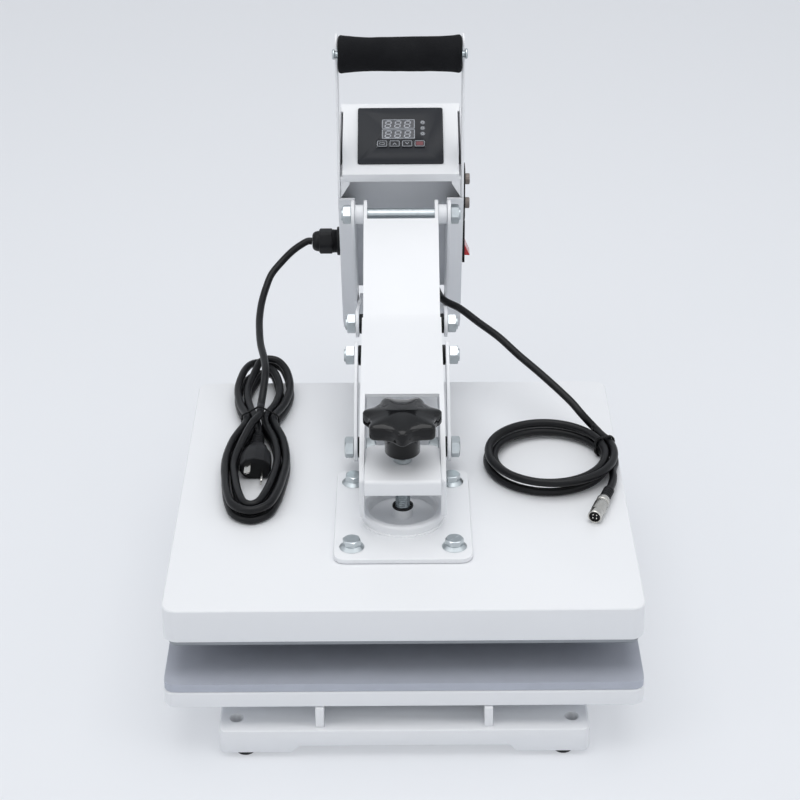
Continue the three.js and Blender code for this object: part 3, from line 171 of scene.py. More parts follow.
# cloud is a scale and a spread, peel a scale, a share of cells and a height in micrometres,
# rub an amount and a colour
def finish(name, slot, colour, rough, cloud, peel, rub=None, metal=0.0, coat=0.0, coatRough=0.03,
           shine=0.5):
    slotOf[name] = slot
    material = bpy.data.materials.new(name)
    material.use_nodes = True
    tree = material.node_tree
    where = addNode(tree, "ShaderNodeTexCoord").outputs["Object"]
    clouds = placeGroup(tree, mottle, where, Scale=cloud[0], Spread=cloud[1])
    tint = {0: 1.0, 6: (*srgb(colour), 1), 7: clouds["Shade"]}
    paint = addNode(tree, "ShaderNodeMix", tint, data_type="RGBA", blend_type="MULTIPLY").outputs[2]
    if rub:
        rubbed = placeGroup(tree, edgeRub, where, Amount=rub[0])["Mask"]
        bare = {0: rubbed, 6: paint, 7: (*srgb(rub[1]), 1)}
        paint = addNode(tree, "ShaderNodeMix", bare, data_type="RGBA").outputs[2]
    sheen = {"To Min": rough * 0.85, "To Max": rough * 1.15, "Value": clouds["Mask"]}
    skin = placeGroup(tree, grain, where, Scale=peel[0], Cells=peel[1])["Height"]
    bump = addNode(tree, "ShaderNodeBump", {"Strength": 1.0, "Distance": peel[2] / 1e6, "Height": skin})
    feed(tree, tree.nodes["Principled BSDF"], {
        "Metallic": metal,
        "Coat Weight": coat,
        "Coat Roughness": coatRough,
        "Specular IOR Level": shine,
        "Base Color": paint,
        "Roughness": addNode(tree, "ShaderNodeMapRange", sheen).outputs["Result"],
        "Normal": bump.outputs["Normal"],
    })
    return material


whiteCoat = finish("whiteCoat", "white_paint", "EDEFF2", 0.38, (9, 0.035), (520, 0.25, 30),
                   rub=(0.15, "F8F9FA"))
zincPlate = finish("zincPlate", "zinc_steel", "C3CBCE", 0.3, (240, 0.28), (1500, 0.6, 20),
                   rub=(0.5, "EEF2F3"), metal=1.0)
threadZinc = finish("threadZinc", "zinc_steel", "AEB6B9", 0.36, (400, 0.35), (1800, 0.4, 10), metal=1.0)
castAlloy = finish("castAlloy", "alloy", "9EA2A6", 0.42, (60, 0.2), (700, 0.7, 80), metal=0.9)
fibreBlanket = finish("fibreBlanket", "fibre", "D8D4C8", 0.95, (180, 0.3), (420, 0.2, 600))
siliconeGrey = finish("siliconeGrey", "silicone", "B9BECA", 0.72, (55, 0.12), (1100, 0.8, 120),
                      rub=(0.35, "C4C8D0"))
footRubber = finish("footRubber", "foot_rubber", "17181A", 0.75, (120, 0.3), (900, 0.5, 80),
                    rub=(0.4, "3A3B3E"))
glossPhenolic = finish("glossPhenolic", "gloss_black", "08090B", 0.13, (70, 0.3), (500, 0.2, 15),
                       rub=(0.15, "1C1E22"), coat=0.25, coatRough=0.06, shine=0.2)
gripFoam = finish("gripFoam", "foam", "121316", 0.92, (45, 0.28), (950, 0.75, 400), shine=0.2)
panelFilm = finish("panelFilm", "panel_black", "1D2026", 0.34, (30, 0.12), (2600, 0.3, 10), shine=0.25)
windowFilm = finish("windowFilm", "panel_black", "34373F", 0.2, (60, 0.15), (2600, 0.3, 5))
printGrey = finish("printGrey", "panel_black", "A7ABB2", 0.5, (300, 0.12), (2600, 0.3, 5))
segmentGrey = finish("segmentGrey", "panel_black", "B4B8C0", 0.4, (300, 0.2), (2600, 0.3, 5))
lampGrey = finish("lampGrey", "panel_black", "C9CCD1", 0.25, (500, 0.25), (2600, 0.3, 5))
printRed = finish("printRed", "red_plastic", "7A3D44", 0.5, (300, 0.2), (2600, 0.3, 5))
rockerRed = finish("rockerRed", "red_plastic", "C4161C", 0.22, (90, 0.12), (1400, 0.3, 10),
                   rub=(0.25, "E0474B"), coat=0.3)
blackMoulding = finish("blackMoulding", "black_plastic", "0F1013", 0.5, (80, 0.3), (1600, 0.7, 40),
                       rub=(0.25, "25272B"), shine=0.25)
fuseMoulding = finish("fuseMoulding", "black_plastic", "8A817B", 0.35, (160, 0.3), (1500, 0.5, 30),
                      rub=(0.4, "C9C2BB"), metal=0.4)
cordSheath = finish("cordSheath", "cord_sheath", "0B0C0F", 0.36, (70, 0.3), (1300, 0.4, 40), shine=0.25)
nickelPlate = finish("nickelPlate", "nickel", "CFCDC7", 0.22, (300, 0.25), (1800, 0.5, 10),
                     rub=(0.4, "F2F1EE"), metal=1.0)
tieWire = finish("tieWire", "black_plastic", "0A0B0D", 0.35, (300, 0.3), (2200, 0.4, 30), shine=0.25)
print("finishes made")


# Making and placing pieces
def smoothed(mesh, angle=35):
    mesh.shade_smooth()
    mesh.set_sharp_from_angle(angle=radians(angle))


def meshPiece(name, parts, angle=35):
    vertices, faces = [], []
    for partVertices, partFaces in parts:
        start = len(vertices)
        vertices += partVertices
        faces += [tuple(i + start for i in face) for face in partFaces]
    mesh = bpy.data.meshes.new(name)
    mesh.from_pydata([tuple(v) for v in vertices], [], faces)
    work = bmesh.new()
    work.from_mesh(mesh)
    bmesh.ops.recalc_face_normals(work, faces=work.faces)
    work.to_mesh(mesh)
    work.free()
    smoothed(mesh, angle)
    return link(name, mesh)


def settle(piece, material, body, *nodes, slot=None):
    if piece.type == "MESH" and not piece.data.materials or piece.type == "CURVE":
        piece.data.materials.clear()
        piece.data.materials.append(material)
    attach(piece, body)
    slot or slotOf[material.name]
    if nodes:
        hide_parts(*nodes)
    return piece


def plainMesh(piece, angle=35):  # keeps what the piece's modifiers make, and drops them
    evaluated = piece.evaluated_get(bpy.context.evaluated_depsgraph_get())
    mesh = bpy.data.meshes.new_from_object(evaluated)
    piece.modifiers.clear()
    piece.data = mesh
    smoothed(mesh, angle)
    return piece


def bevelled(piece, width, segments=3, angle=32):
    bevel = piece.modifiers.new("soften", "BEVEL")
    bevel.width = width / 1000
    bevel.segments = segments
    bevel.limit_method = "ANGLE"
    bevel.angle_limit = radians(angle)
    bevel.use_clamp_overlap = True
    return plainMesh(piece)


# A copy of a CAD solid with its edges rounded, as a coat of paint leaves them
def refined(node, width=0.5, segments=3):
    work = bmesh.new()
    work.from_mesh(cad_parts[node].data)
    bmesh.ops.remove_doubles(work, verts=work.verts, dist=0.000004)
    bmesh.ops.dissolve_limit(work, angle_limit=radians(0.6), verts=work.verts, edges=work.edges)
    mesh = bpy.data.meshes.new(node + "Finished")
    work.to_mesh(mesh)
    work.free()
    return bevelled(link(node + "Finished", mesh), width, segments)


def rowFaces(rows, sides, start=0, closed=False):  # quads between rows of points
    faces = []
    for i in range(rows if closed else rows - 1):
        a, b = start + i * sides, start + (i + 1) % rows * sides
        faces += [(a + j, a + (j + 1) % sides, b + (j + 1) % sides, b + j) for j in range(sides)]
    return faces


def endFaces(rows, sides):
    return [tuple(range(sides)), tuple(range((rows - 1) * sides, rows * sides))]


def toward(origin, direction, axis="Z"):  # a local frame whose axis points along direction
    return Matrix.Translation(origin) @ Vector(direction).to_track_quat(axis, "Y").to_matrix().to_4x4()


def polar(radius, angle):
    return radius * cos(angle), radius * sin(angle)


def lathe(profile, segments, at, wave=None):
    vertices, faces, rings = [], [], []
    for radius, height in profile:
        if radius == 0:
            rings.append([len(vertices)])
            vertices.append(at @ Vector((0, 0, height / 1000)))
            continue
        rings.append(list(range(len(vertices), len(vertices) + segments)))
        for i in range(segments):
            angle = 2 * pi * i / segments
            r = (radius + (wave(angle, radius, height) if wave else 0)) / 1000
            vertices.append(at @ Vector((*polar(r, angle), height / 1000)))
    for low, high in zip(rings, rings[1:]):
        for i in range(segments):
            j = (i + 1) % segments
            if len(low) == 1 and len(high) == 1:
                break
            if len(low) == 1:
                faces.append((low[0], high[i], high[j]))
            elif len(high) == 1:
                faces.append((low[i], low[j], high[0]))
            else:
                faces.append((low[i], low[j], high[j], high[i]))
    return vertices, faces


def ringLathe(profile, segments, at, wave=None):
    vertices, faces = lathe(profile + profile[:1], segments, at, wave)
    count = len(profile) * segments
    return vertices[:count], [tuple(i % count for i in face) for face in faces]


def prism(outline, low, high, at):
    count = len(outline)
    vertices = [at @ Vector((u / 1000, v / 1000, h / 1000)) for h in (low, high) for u, v in outline]
    return vertices, endFaces(2, count) + rowFaces(2, count)


def roundedBox(u0, v0, u1, v1, radius, steps=5):
    points = []
    for cu, cv, start in ((u1 - radius, v1 - radius, 0), (u0 + radius, v1 - radius, 90),
                          (u0 + radius, v0 + radius, 180), (u1 - radius, v0 + radius, 270)):
        for i in range(steps + 1):
            angle = radians(start + 90 * i / steps)
            points.append((cu + radius * cos(angle), cv + radius * sin(angle)))
    return points


def headingAt(line, i):
    return (line[min(i + 1, len(line) - 1)] - line[max(i - 1, 0)]).normalized()


def smoothLine(points, each):  # centripetal curve through points
    points = [Vector(p) for p in points]
    line = []
    ends = [points[0] * 2 - points[1]] + points + [points[-1] * 2 - points[-2]]
    for i in range(1, len(ends) - 2):
        p0, p1, p2, p3 = ends[i - 1 : i + 3]
        t0, t1, t2 = (max((b - a).length ** 0.5, 1e-6) for a, b in ((p0, p1), (p1, p2), (p2, p3)))
        m1 = (p1 - p0) / t0 - (p2 - p0) / (t0 + t1) + (p2 - p1) / t1
        m2 = (p2 - p1) / t1 - (p3 - p1) / (t1 + t2) + (p3 - p2) / t2
        m1, m2 = m1 * t1, m2 * t1
        for k in range(each):
            t = k / each
            line.append((2 * t**3 - 3 * t**2 + 1) * p1 + (t**3 - 2 * t**2 + t) * m1
                        + (3 * t**2 - 2 * t**3) * p2 + (t**3 - t**2) * m2)
    return line + [points[-1]]


def lineLength(line):
    return sum((b - a).length for a, b in zip(line, line[1:]))


def wireCurve(name, line, radius):
    data = bpy.data.curves.new(name, "CURVE")
    data.dimensions = "3D"
    data.bevel_depth = radius / 1000
    data.bevel_resolution = 6
    data.use_fill_caps = True
    spline = data.splines.new("POLY")
    spline.points.add(len(line) - 1)
    for point, place in zip(spline.points, line):
        point.co = (*place, 1)
    return link(name, data)


def tubeParts(line, radius, sides):  # a mesh tube along a line
    vertices = []
    up = Vector((0, 0, 1))
    for i, point in enumerate(line):
        along = headingAt(line, i)
        if abs(up.dot(along)) < 0.999:
            up = (up - along * up.dot(along)).normalized()
        else:
            up = along.orthogonal().normalized()
        side = along.cross(up)
        for j in range(sides):
            angle = 2 * pi * j / sides
            vertices.append(point + (up * cos(angle) + side * sin(angle)) * radius / 1000)
    return vertices, rowFaces(len(line), sides) + endFaces(len(line), sides)


# Cords: the power cord with its hank, and the sensor cable with its coil
cordRadius = 3.65
coverTop, gap = 137.0, 0.3
hank = {
    "x": -134, "y": 76, "halfLength": 135, "half": 25.4, "waistHalf": 8.4, "tieY": 98, "pinch": 36,
    "turns": 4, "offset": 5.8, "squareness": 0.75, "steps": 24, "waistLift": 2.6, "farFan": 2.4,
    "nearFan": 1.2, "straight": 8,
}
plugAxisZ = coverTop + gap + 11.5
tieTurn = math.asin((hank["tieY"] - hank["y"]) / hank["halfLength"])


def smoothStep(x, low, high):
    t = min(max((x - low) / (high - low), 0), 1)
    return t * t * (3 - 2 * t)


def hankBase(angle):
    y = hank["y"] + hank["halfLength"] * sin(angle)
    narrow = math.exp(-(((y - hank["tieY"]) / hank["pinch"]) ** 2))
    wide = hank["half"] + (hank["waistHalf"] - hank["half"]) * narrow
    cosine = cos(angle)
    rounding = math.copysign(abs(cosine) ** hank["squareness"], cosine)
    return hank["x"] + wide * rounding, y, narrow


def hankPoint(turn):
    angle = 2 * pi * turn + tieTurn * cos(2 * pi * turn)
    x, y, narrow = hankBase(angle)
    beforeX, beforeY, _ = hankBase(angle - 0.01)
    afterX, afterY, _ = hankBase(angle + 0.01)
    length = math.hypot(afterX - beforeX, afterY - beforeY)
    outX, outY = (afterY - beforeY) / length, (beforeX - afterX) / length
    roll = (pi / 2) * (smoothStep(turn - math.floor(turn), 0.1, 0.4) + 0.5)
    phase = roll + (pi / 2) * math.floor(turn)
    reach = max(abs(sin(roll)), abs(cos(roll)))
    fan = hank["farFan"] if sin(angle) > 0 else hank["nearFan"]
    spread = hank["offset"] + fan * smoothStep(abs(sin(angle)), 0.4, 0.9)
    out = spread * cos(phase)
    z = coverTop + gap + cordRadius + spread * (reach + sin(phase)) + hank["waistLift"] * narrow
    return x + outX * out, y + outY * out, z


def hankRoute():
    slot = hankPoint(0.5)
    top = slot[2] + 7.4
    x, tieY = hank["x"], hank["tieY"]
    entry = [(x, tieY + hank["straight"], top), (x, tieY, top), (x - 1.2, tieY - 9, top + 0.6),
             (x - 6, tieY - 20, top + 0.2)]
    first, last = hank["steps"] // 2 + 2, int((hank["turns"] + 0.5) * hank["steps"])
    loops = [hankPoint(i / hank["steps"]) for i in range(first, last + 1)]
    leave = [(x - 1.8, tieY - 9, (slot[2] + plugAxisZ) / 2), (x, tieY - 16, plugAxisZ), (x, 74, plugAxisZ),
             (x, 70.3, plugAxisZ)]
    return entry + loops + leave


coil = {"x": 134.3, "y": 34.5, "radius": 56, "turns": 3.15, "offset": 5.8, "steps": 24, "straight": 8,
        "tie": 19, "start": 33, "rise": 0.7}
coilZ = coverTop + gap + cordRadius + coil["offset"]
connectorFrom, connectorTo, connectorZ = (184.6, -21), (167.7, -67), coverTop + gap + 6.25


def coilPoint(turn):
    angle = radians(coil["tie"]) - 2 * pi * turn
    phase = (pi / 2) * turn + pi / 4
    radius = coil["radius"] + coil["offset"] * cos(phase)
    return Vector((coil["x"] + radius * cos(angle), coil["y"] + radius * sin(angle),
                   coilZ + coil["offset"] * sin(phase)))


def coilRoute():
    first = (coil["tie"] - coil["start"]) / 360
    count = round(coil["turns"] * coil["steps"])
    points = [coilPoint(first + coil["turns"] * i / count) for i in range(count + 1)]
    start = points[0] + (points[0] - points[1]).normalized() * coil["straight"]
    start.z += coil["rise"]
    end = Vector((*connectorFrom, connectorZ))
    heading = Vector((connectorTo[0] - connectorFrom[0], connectorTo[1] - connectorFrom[1], 0)).normalized()
    beforeEnd = end - heading * coil["straight"]
    middle = points[-1].lerp(beforeEnd, 0.5)
    middle.x += 1.2
    return [start, *points, middle, beforeEnd, end - heading * gap]


def leadTo(route):  # the end of a free run, in line with the winding that it meets
    start = Vector(route[0])
    back = (start - Vector(route[1])).normalized()
    return [start + back * 2 * cordRadius, start + back * 0.05]


hankPoints, coilPoints = hankRoute(), coilRoute()


powerRoute = [
    (-91.5, 335, 229), (-95.5, 335, 229), (-102.5, 333, 226), (-112.1, 329, 220.2), (-122.4, 322, 212),
    (-132.6, 311, 203.2), (-138.1, 295, 194.6), (-141.4, 276, 187.8), (-142.4, 252, 182.4),
    (-141.7, 235, 179.4), (-139.1, 207, 176.5), (-133.9, 177, 175.1), (-131.4, 154, 173.5),
    (-132.3, 131, 166.5),
]
sensorRoute = [
    (20, 365.3, 222.4), (20.2, 349.3, 215.4), (24, 325, 210), (33, 275, 208.6), (41.5, 236, 209.2),
    (57, 219, 208), (75.6, 196.5, 203), (94, 175, 198), (111.8, 153, 190), (130, 131, 183),
    (147.9, 109.5, 175), (160, 95, 168.5), (168, 85, 162.5),
]


def makeCords():
    made = {}
    for name, route, each, body, node in (
        ("powerCord", powerRoute + leadTo(hankPoints), 8, "upper_arm", "power_cord_free"),
        ("powerCordHank", hankPoints, 4, "platen", "power_cord_hank"),
        ("sensorCable", sensorRoute + leadTo(coilPoints), 8, "upper_arm", "sensor_cable_free"),
        ("sensorCableCoil", coilPoints, 4, "platen", "sensor_coil"),
    ):
        line = smoothLine([mm(*point) for point in route], each)
        made[name] = (settle(wireCurve(name, line, cordRadius), cordSheath, body, node), line)
        print(name, "length", round(lineLength(line), 4))
    return made


cords = makeCords()
print("cords laid")


# Twisted wire ties round the hank and the coil
tie = {"wire": 1.0, "strand": 0.52, "twist": 3.0}


def roundBelt(corners, radius, steps=7):  # a belt round circles at the corners, as (u, v) points
    count = len(corners)
    points = []
    for i, (u, v) in enumerate(corners):
        pu, pv = corners[i - 1]
        nu, nv = corners[(i + 1) % count]
        start = math.atan2(v - pv, u - pu) - pi / 2
        end = math.atan2(nv - v, nu - u) - pi / 2
        while end < start:
            end += 2 * pi
        for k in range(steps + 1):
            angle = start + (end - start) * k / steps
            points.append((u + radius * cos(angle), v + radius * sin(angle)))
    return points


def evenLine(line, spacing):
    total, out, target, walked = lineLength(line), [line[0]], spacing, 0.0
    for a, b in zip(line, line[1:]):
        step = (b - a).length
        while step > 0 and walked + step >= target and target < total:
            out.append(a.lerp(b, (target - walked) / step))
            target += spacing
        walked += step
    return out


def twistedWire(line):  # two strands that wind round each other along a line
    line = evenLine(line, 0.0005)
    parts = []
    for side in (0, pi):
        strand = []
        for i, point in enumerate(line):
            along = headingAt(line, i)
            steep = abs(along.z) > 0.95
            across = (along.orthogonal() if steep else along.cross(Vector((0, 0, 1)))).normalized()
            up = across.cross(along)
            angle = side + 2 * pi * i * 0.5 / tie["twist"]
            strand.append(point + (across * cos(angle) + up * sin(angle)) * tie["strand"] / 1000)
        parts.append(tubeParts(strand, tie["wire"] - tie["strand"] + 0.1, 6))
    return parts


def makeTies(hankTop):
    corner = hank["waistHalf"] + hank["offset"] * math.sqrt(0.5)
    row = hankPoint(0.5)[2]
    low = row - 2 * hank["offset"] * math.sqrt(0.5)
    belt = roundBelt([(-corner, low), (corner, low), (corner, row), (0, hankTop), (-corner, row)],
                     cordRadius + 1.4)
    count = len(belt)
    line = [mm(hank["x"] + u, hank["tieY"] - 1.5 + 5 * i / count, v) for i, (u, v) in enumerate(belt)]
    line += [mm(hank["x"] + u, hank["tieY"] + 3.5 - 2.5 * i / 8, v + 1.1 * i / 8)
             for i, (u, v) in enumerate(belt[:9])]
    settle(meshPiece("hankTieWire", twistedWire(line)), tieWire, "platen", "hank_tie")
    place = coil["offset"] * math.sqrt(0.5)
    belt = roundBelt([(-place, -place), (place, -place), (place, place), (-place, place)],
                     cordRadius + 1.15)
    turn = radians(coil["tie"])
    radial, along = Vector((cos(turn), sin(turn), 0)), Vector((-sin(turn), cos(turn), 0))
    line = []
    for i in range(2 * len(belt) + 4):
        u, v = belt[i % len(belt)]
        lay = -1.6 + 3.4 * i / (2 * len(belt))
        where = Vector((coil["x"], coil["y"], coilZ)) + radial * (coil["radius"] + u) + along * lay
        line.append(mm(where.x, where.y, where.z + v))
    settle(meshPiece("coilTieWire", twistedWire(line)), tieWire, "platen", "coil_tie")


makeTies(hankPoints[1][2])
print("ties wound")


# Plug on the hank: a moulded body with a ridge, a ribbed relief and two slanted blades
plug = {
    "faceY": 12, "shoulderY": 30, "backY": 50, "reliefEnd": 70, "reliefRadius": 5.4, "ribs": 6,
    "bladeX": 7.9, "bladeHalf": 0.8, "bladeTilt": 30, "roll": 40,
}


def makePlug():
    section = [(0, 11.3), (8.6, 9.2), (13.9, 3.4), (14.2, -3.2), (11.2, -8.6), (5.2, -11.2), (-5.2, -11.2),
               (-11.2, -8.6), (-14.2, -3.2), (-13.9, 3.4), (-8.6, 9.2)]
    stations = [(plug["faceY"], 0.95), (plug["faceY"] + 1.2, 1.0), (plug["shoulderY"], 1.0), (36, 0.93),
                (43, 0.72), (plug["backY"], 0.6)]
    vertices = [mm(hank["x"] + u * share, y, plugAxisZ + v * share)
                for y, share in stations for u, v in section]
    faces = rowFaces(len(stations), len(section)) + endFaces(len(stations), len(section))
    body = bevelled(meshPiece("plugBody", [(vertices, faces)]), 1.1, 4, 14)
    length, radius = plug["reliefEnd"] - plug["backY"], plug["reliefRadius"]
    profile = [(0, -1.5), (radius + 1.6, -1.5), (radius + 1.2, 0)]
    for i in range(plug["ribs"]):
        z = length * i / plug["ribs"] + 0.6
        step = length / plug["ribs"]
        r = radius + 0.7 - 0.7 * i / plug["ribs"]
        profile += [(r - 1.1, z), (r - 1.1, z + step * 0.3), (r, z + step * 0.42), (r, z + step * 0.8)]
    profile += [(radius - 1.4, length), (0, length)]
    relief = lathe(profile, 40, toward(mm(hank["x"], plug["backY"], plugAxisZ), (0, 1, 0)))
    settle(body, blackMoulding, "platen", "plug")
    ribs = settle(meshPiece("plugRelief", [relief]), blackMoulding, "platen")
    outline = [(-3.15, 0), (3.15, 0), (3.15, 15.2), (2.5, 16.7), (1.2, 17.2), (-1.2, 17.2), (-2.5, 16.7),
               (-3.15, 15.2)]
    upright = Matrix(((0, 0, 1, 0), (0, -1, 0, 0), (1, 0, 0, 0), (0, 0, 0, 1)))
    roll = Matrix.Rotation(radians(plug["roll"]), 4, "Y")
    face = Matrix.Translation(mm(hank["x"], plug["faceY"], plugAxisZ)) @ roll
    blades = []
    for sign in (-1, 1):
        tilt = Matrix.Rotation(radians(-sign * plug["bladeTilt"]), 4, "Y")
        place = face @ Matrix.Translation((sign * plug["bladeX"] / 1000, 0, 0)) @ tilt @ upright
        blades.append(prism(outline, -plug["bladeHalf"], plug["bladeHalf"], place))
    pins = bevelled(meshPiece("plugBlades", blades), 0.3, 2)
    settle(pins, nickelPlate, "platen")
    return [body, ribs, pins, bpy.data.objects["hankTieWire"]]


plugPieces = makePlug()


# Connector at the end of the sensor cable
connector = {"boot": 4.9, "bootLength": 18, "ribs": 4, "body": 6.25, "knurls": 30, "pins": 4,
             "pinSpread": 2.3}


def makeConnector():
    start = mm(*connectorFrom, connectorZ)
    end = mm(*connectorTo, connectorZ)
    total = (end - start).length * 1000
    axis = toward(start, end - start)
    edge, s = connector["boot"], connector["bootLength"]
    profile = [(0, 0), (edge - 0.4, 0), (edge, 0.8)]
    for i in range(connector["ribs"]):
        z = 3 + 3.2 * i
        profile += [(edge, z), (edge - 0.6, z + 0.5), (edge - 0.6, z + 1.4), (edge, z + 1.9)]
    profile += [(edge, s), (0, s)]
    boot = settle(meshPiece("connectorBoot", [lathe(profile, 36, axis)]), blackMoulding, "platen")
    r = connector["body"]
    shell = [
        (4.6, s), (5.6, s), (6.0, s + 0.5), (6.0, s + 5.5), (5.6, s + 6), (5.4, s + 6), (5.4, s + 8),
        (r - 0.5, s + 8), (r, s + 8.6), (r, total - 9), (r - 0.25, total - 8.4), (r - 0.25, total - 7.6),
        (r, total - 7), (r, total - 0.6), (r - 0.5, total),
        (5.3, total), (5.0, total - 0.3), (5.0, total - 5), (4.6, total - 5),
    ]

    def knurl(angle, radius, height):
        ring = s + 0.4 < height < s + 5.6 and radius > 5.5
        barrel = s + 8.5 < height < total - 8.9 and radius > 6.2
        return -0.22 * (0.5 + 0.5 * cos(connector["knurls"] * angle)) if ring or barrel else 0

    metal = settle(meshPiece("connectorShell", [ringLathe(shell, 120, axis, knurl)]), nickelPlate, "platen",
                   "connector")
    insert = [lathe([(0, total - 6), (4.8, total - 6), (4.8, total - 2.6), (0, total - 2.6)], 32, axis)]
    face = settle(meshPiece("connectorInsert", insert), blackMoulding, "platen")
    pinProfile = [(0, total - 3), (0.7, total - 3), (0.7, total - 0.9), (0.4, total - 0.5),
                  (0, total - 0.5)]
    pins = []
    for i in range(connector["pins"]):
        angle = pi / 2 * (i + 0.5)
        offset = Vector((cos(angle), sin(angle), 0)) * connector["pinSpread"] / 1000
        pins.append(lathe(pinProfile, 12, axis @ Matrix.Translation(offset)))
    pin = settle(meshPiece("connectorPins", pins), nickelPlate, "platen")
    return [boot, metal, face, pin, bpy.data.objects["coilTieWire"]]


connectorPieces = makeConnector()
cordFacts = {
    "powerCord": (powerRoute[0], "object", "medium", "loose", []),
    "powerCordHank": (hankPoints[0], "plug", "medium", "coiled", plugPieces),
    "sensorCable": (sensorRoute[0], "object", "medium", "loose", []),
    "sensorCableCoil": (tuple(coilPoints[0]), "connector", "medium", "coiled", connectorPieces),
}
for name, (leaves, far, stiffness, lay, carried) in cordFacts.items():
    piece, line = cords[name]
    tuple(mm(*leaves))
    round(lineLength(line), 3)
    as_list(carried)
print("plug and connector on")


# White painted sheet and tube, from the CAD solids
# Each width of rounding, in mm, with the nodes that have it
paintedEdges = {
    "base": {0.6: "front_foot_bar rear_foot_bar", 0.5: "rail_left rail_right lower_platen"},
    "platen": {0.45: "platen_cover", 0.5: "mount_plate"},
    "upper_arm": {
        0.6: "arm_channel side_link_left side_link_right hinge_link_left hinge_link_right saddle",
        0.4: "cheek_left cheek_right side_wall_left side_wall_right control_housing back_cover",
    },
}
for body, edges in paintedEdges.items():
    for width, nodes in edges.items():
        for node in nodes.split():
            settle(refined(node, width), whiteCoat, body, node)
settle(refined("heating_plate", 0.8), castAlloy, "platen", "heating_plate")
settle(refined("handle_bar", 0.4), zincPlate, "upper_arm", "handle_bar")
settle(refined("switch_bezel", 0.4), blackMoulding, "upper_arm", "switch_bezel")
settle(refined("fuse_plate", 0.4), blackMoulding, "upper_arm", "fuse_plate")
settle(refined("rocker", 0.7, 4), rockerRed, "rocker_body", "rocker")
print("sheet metal rounded")


# Weld bead round the pressure ring and along the towers
def beadParts(line, radius, wobble):
    fine = evenLine(line, 0.0009)
    moved = [p + Vector((0, 0, 1)) * noise.noise(p * 900) * wobble / 1000 for p in fine]
    vertices, faces = tubeParts(moved, radius, 8)
    swollen = []
    for i, v in enumerate(vertices):
        centre = moved[i // 8]
        ripple = 1 + 0.16 * sin(i // 8 * 1.9) + 0.25 * noise.noise(centre * 500)
        swollen.append(centre + (v - centre) * ripple)
    return swollen, faces


weld = {"ring": 37.2, "ringY": -58, "ringZ": 142.1, "from": -166, "sweep": 336, "towerX": 41.2, "barX": 71}


def makeWelds():
    angles = [radians(weld["sweep"] * i / 120 + weld["from"]) for i in range(121)]
    ringLine = [mm(weld["ring"] * cos(a), weld["ringY"] + weld["ring"] * sin(a), weld["ringZ"])
                for a in angles]
    settle(meshPiece("ringWeld", [beadParts(ringLine, 1.5, 0.4)], 60), whiteCoat, "platen")
    beads = []
    for sign in (-1, 1):
        beads.append(beadParts([mm(sign * weld["towerX"], y, 27.2) for y in (363, 398)], 1.3, 0.3))
        beads.append(beadParts([mm(sign * weld["barX"], -170.4, z) for z in (28, 45)], 1.2, 0.3))
    settle(meshPiece("frameWelds", beads, 60), whiteCoat, "base")


makeWelds()


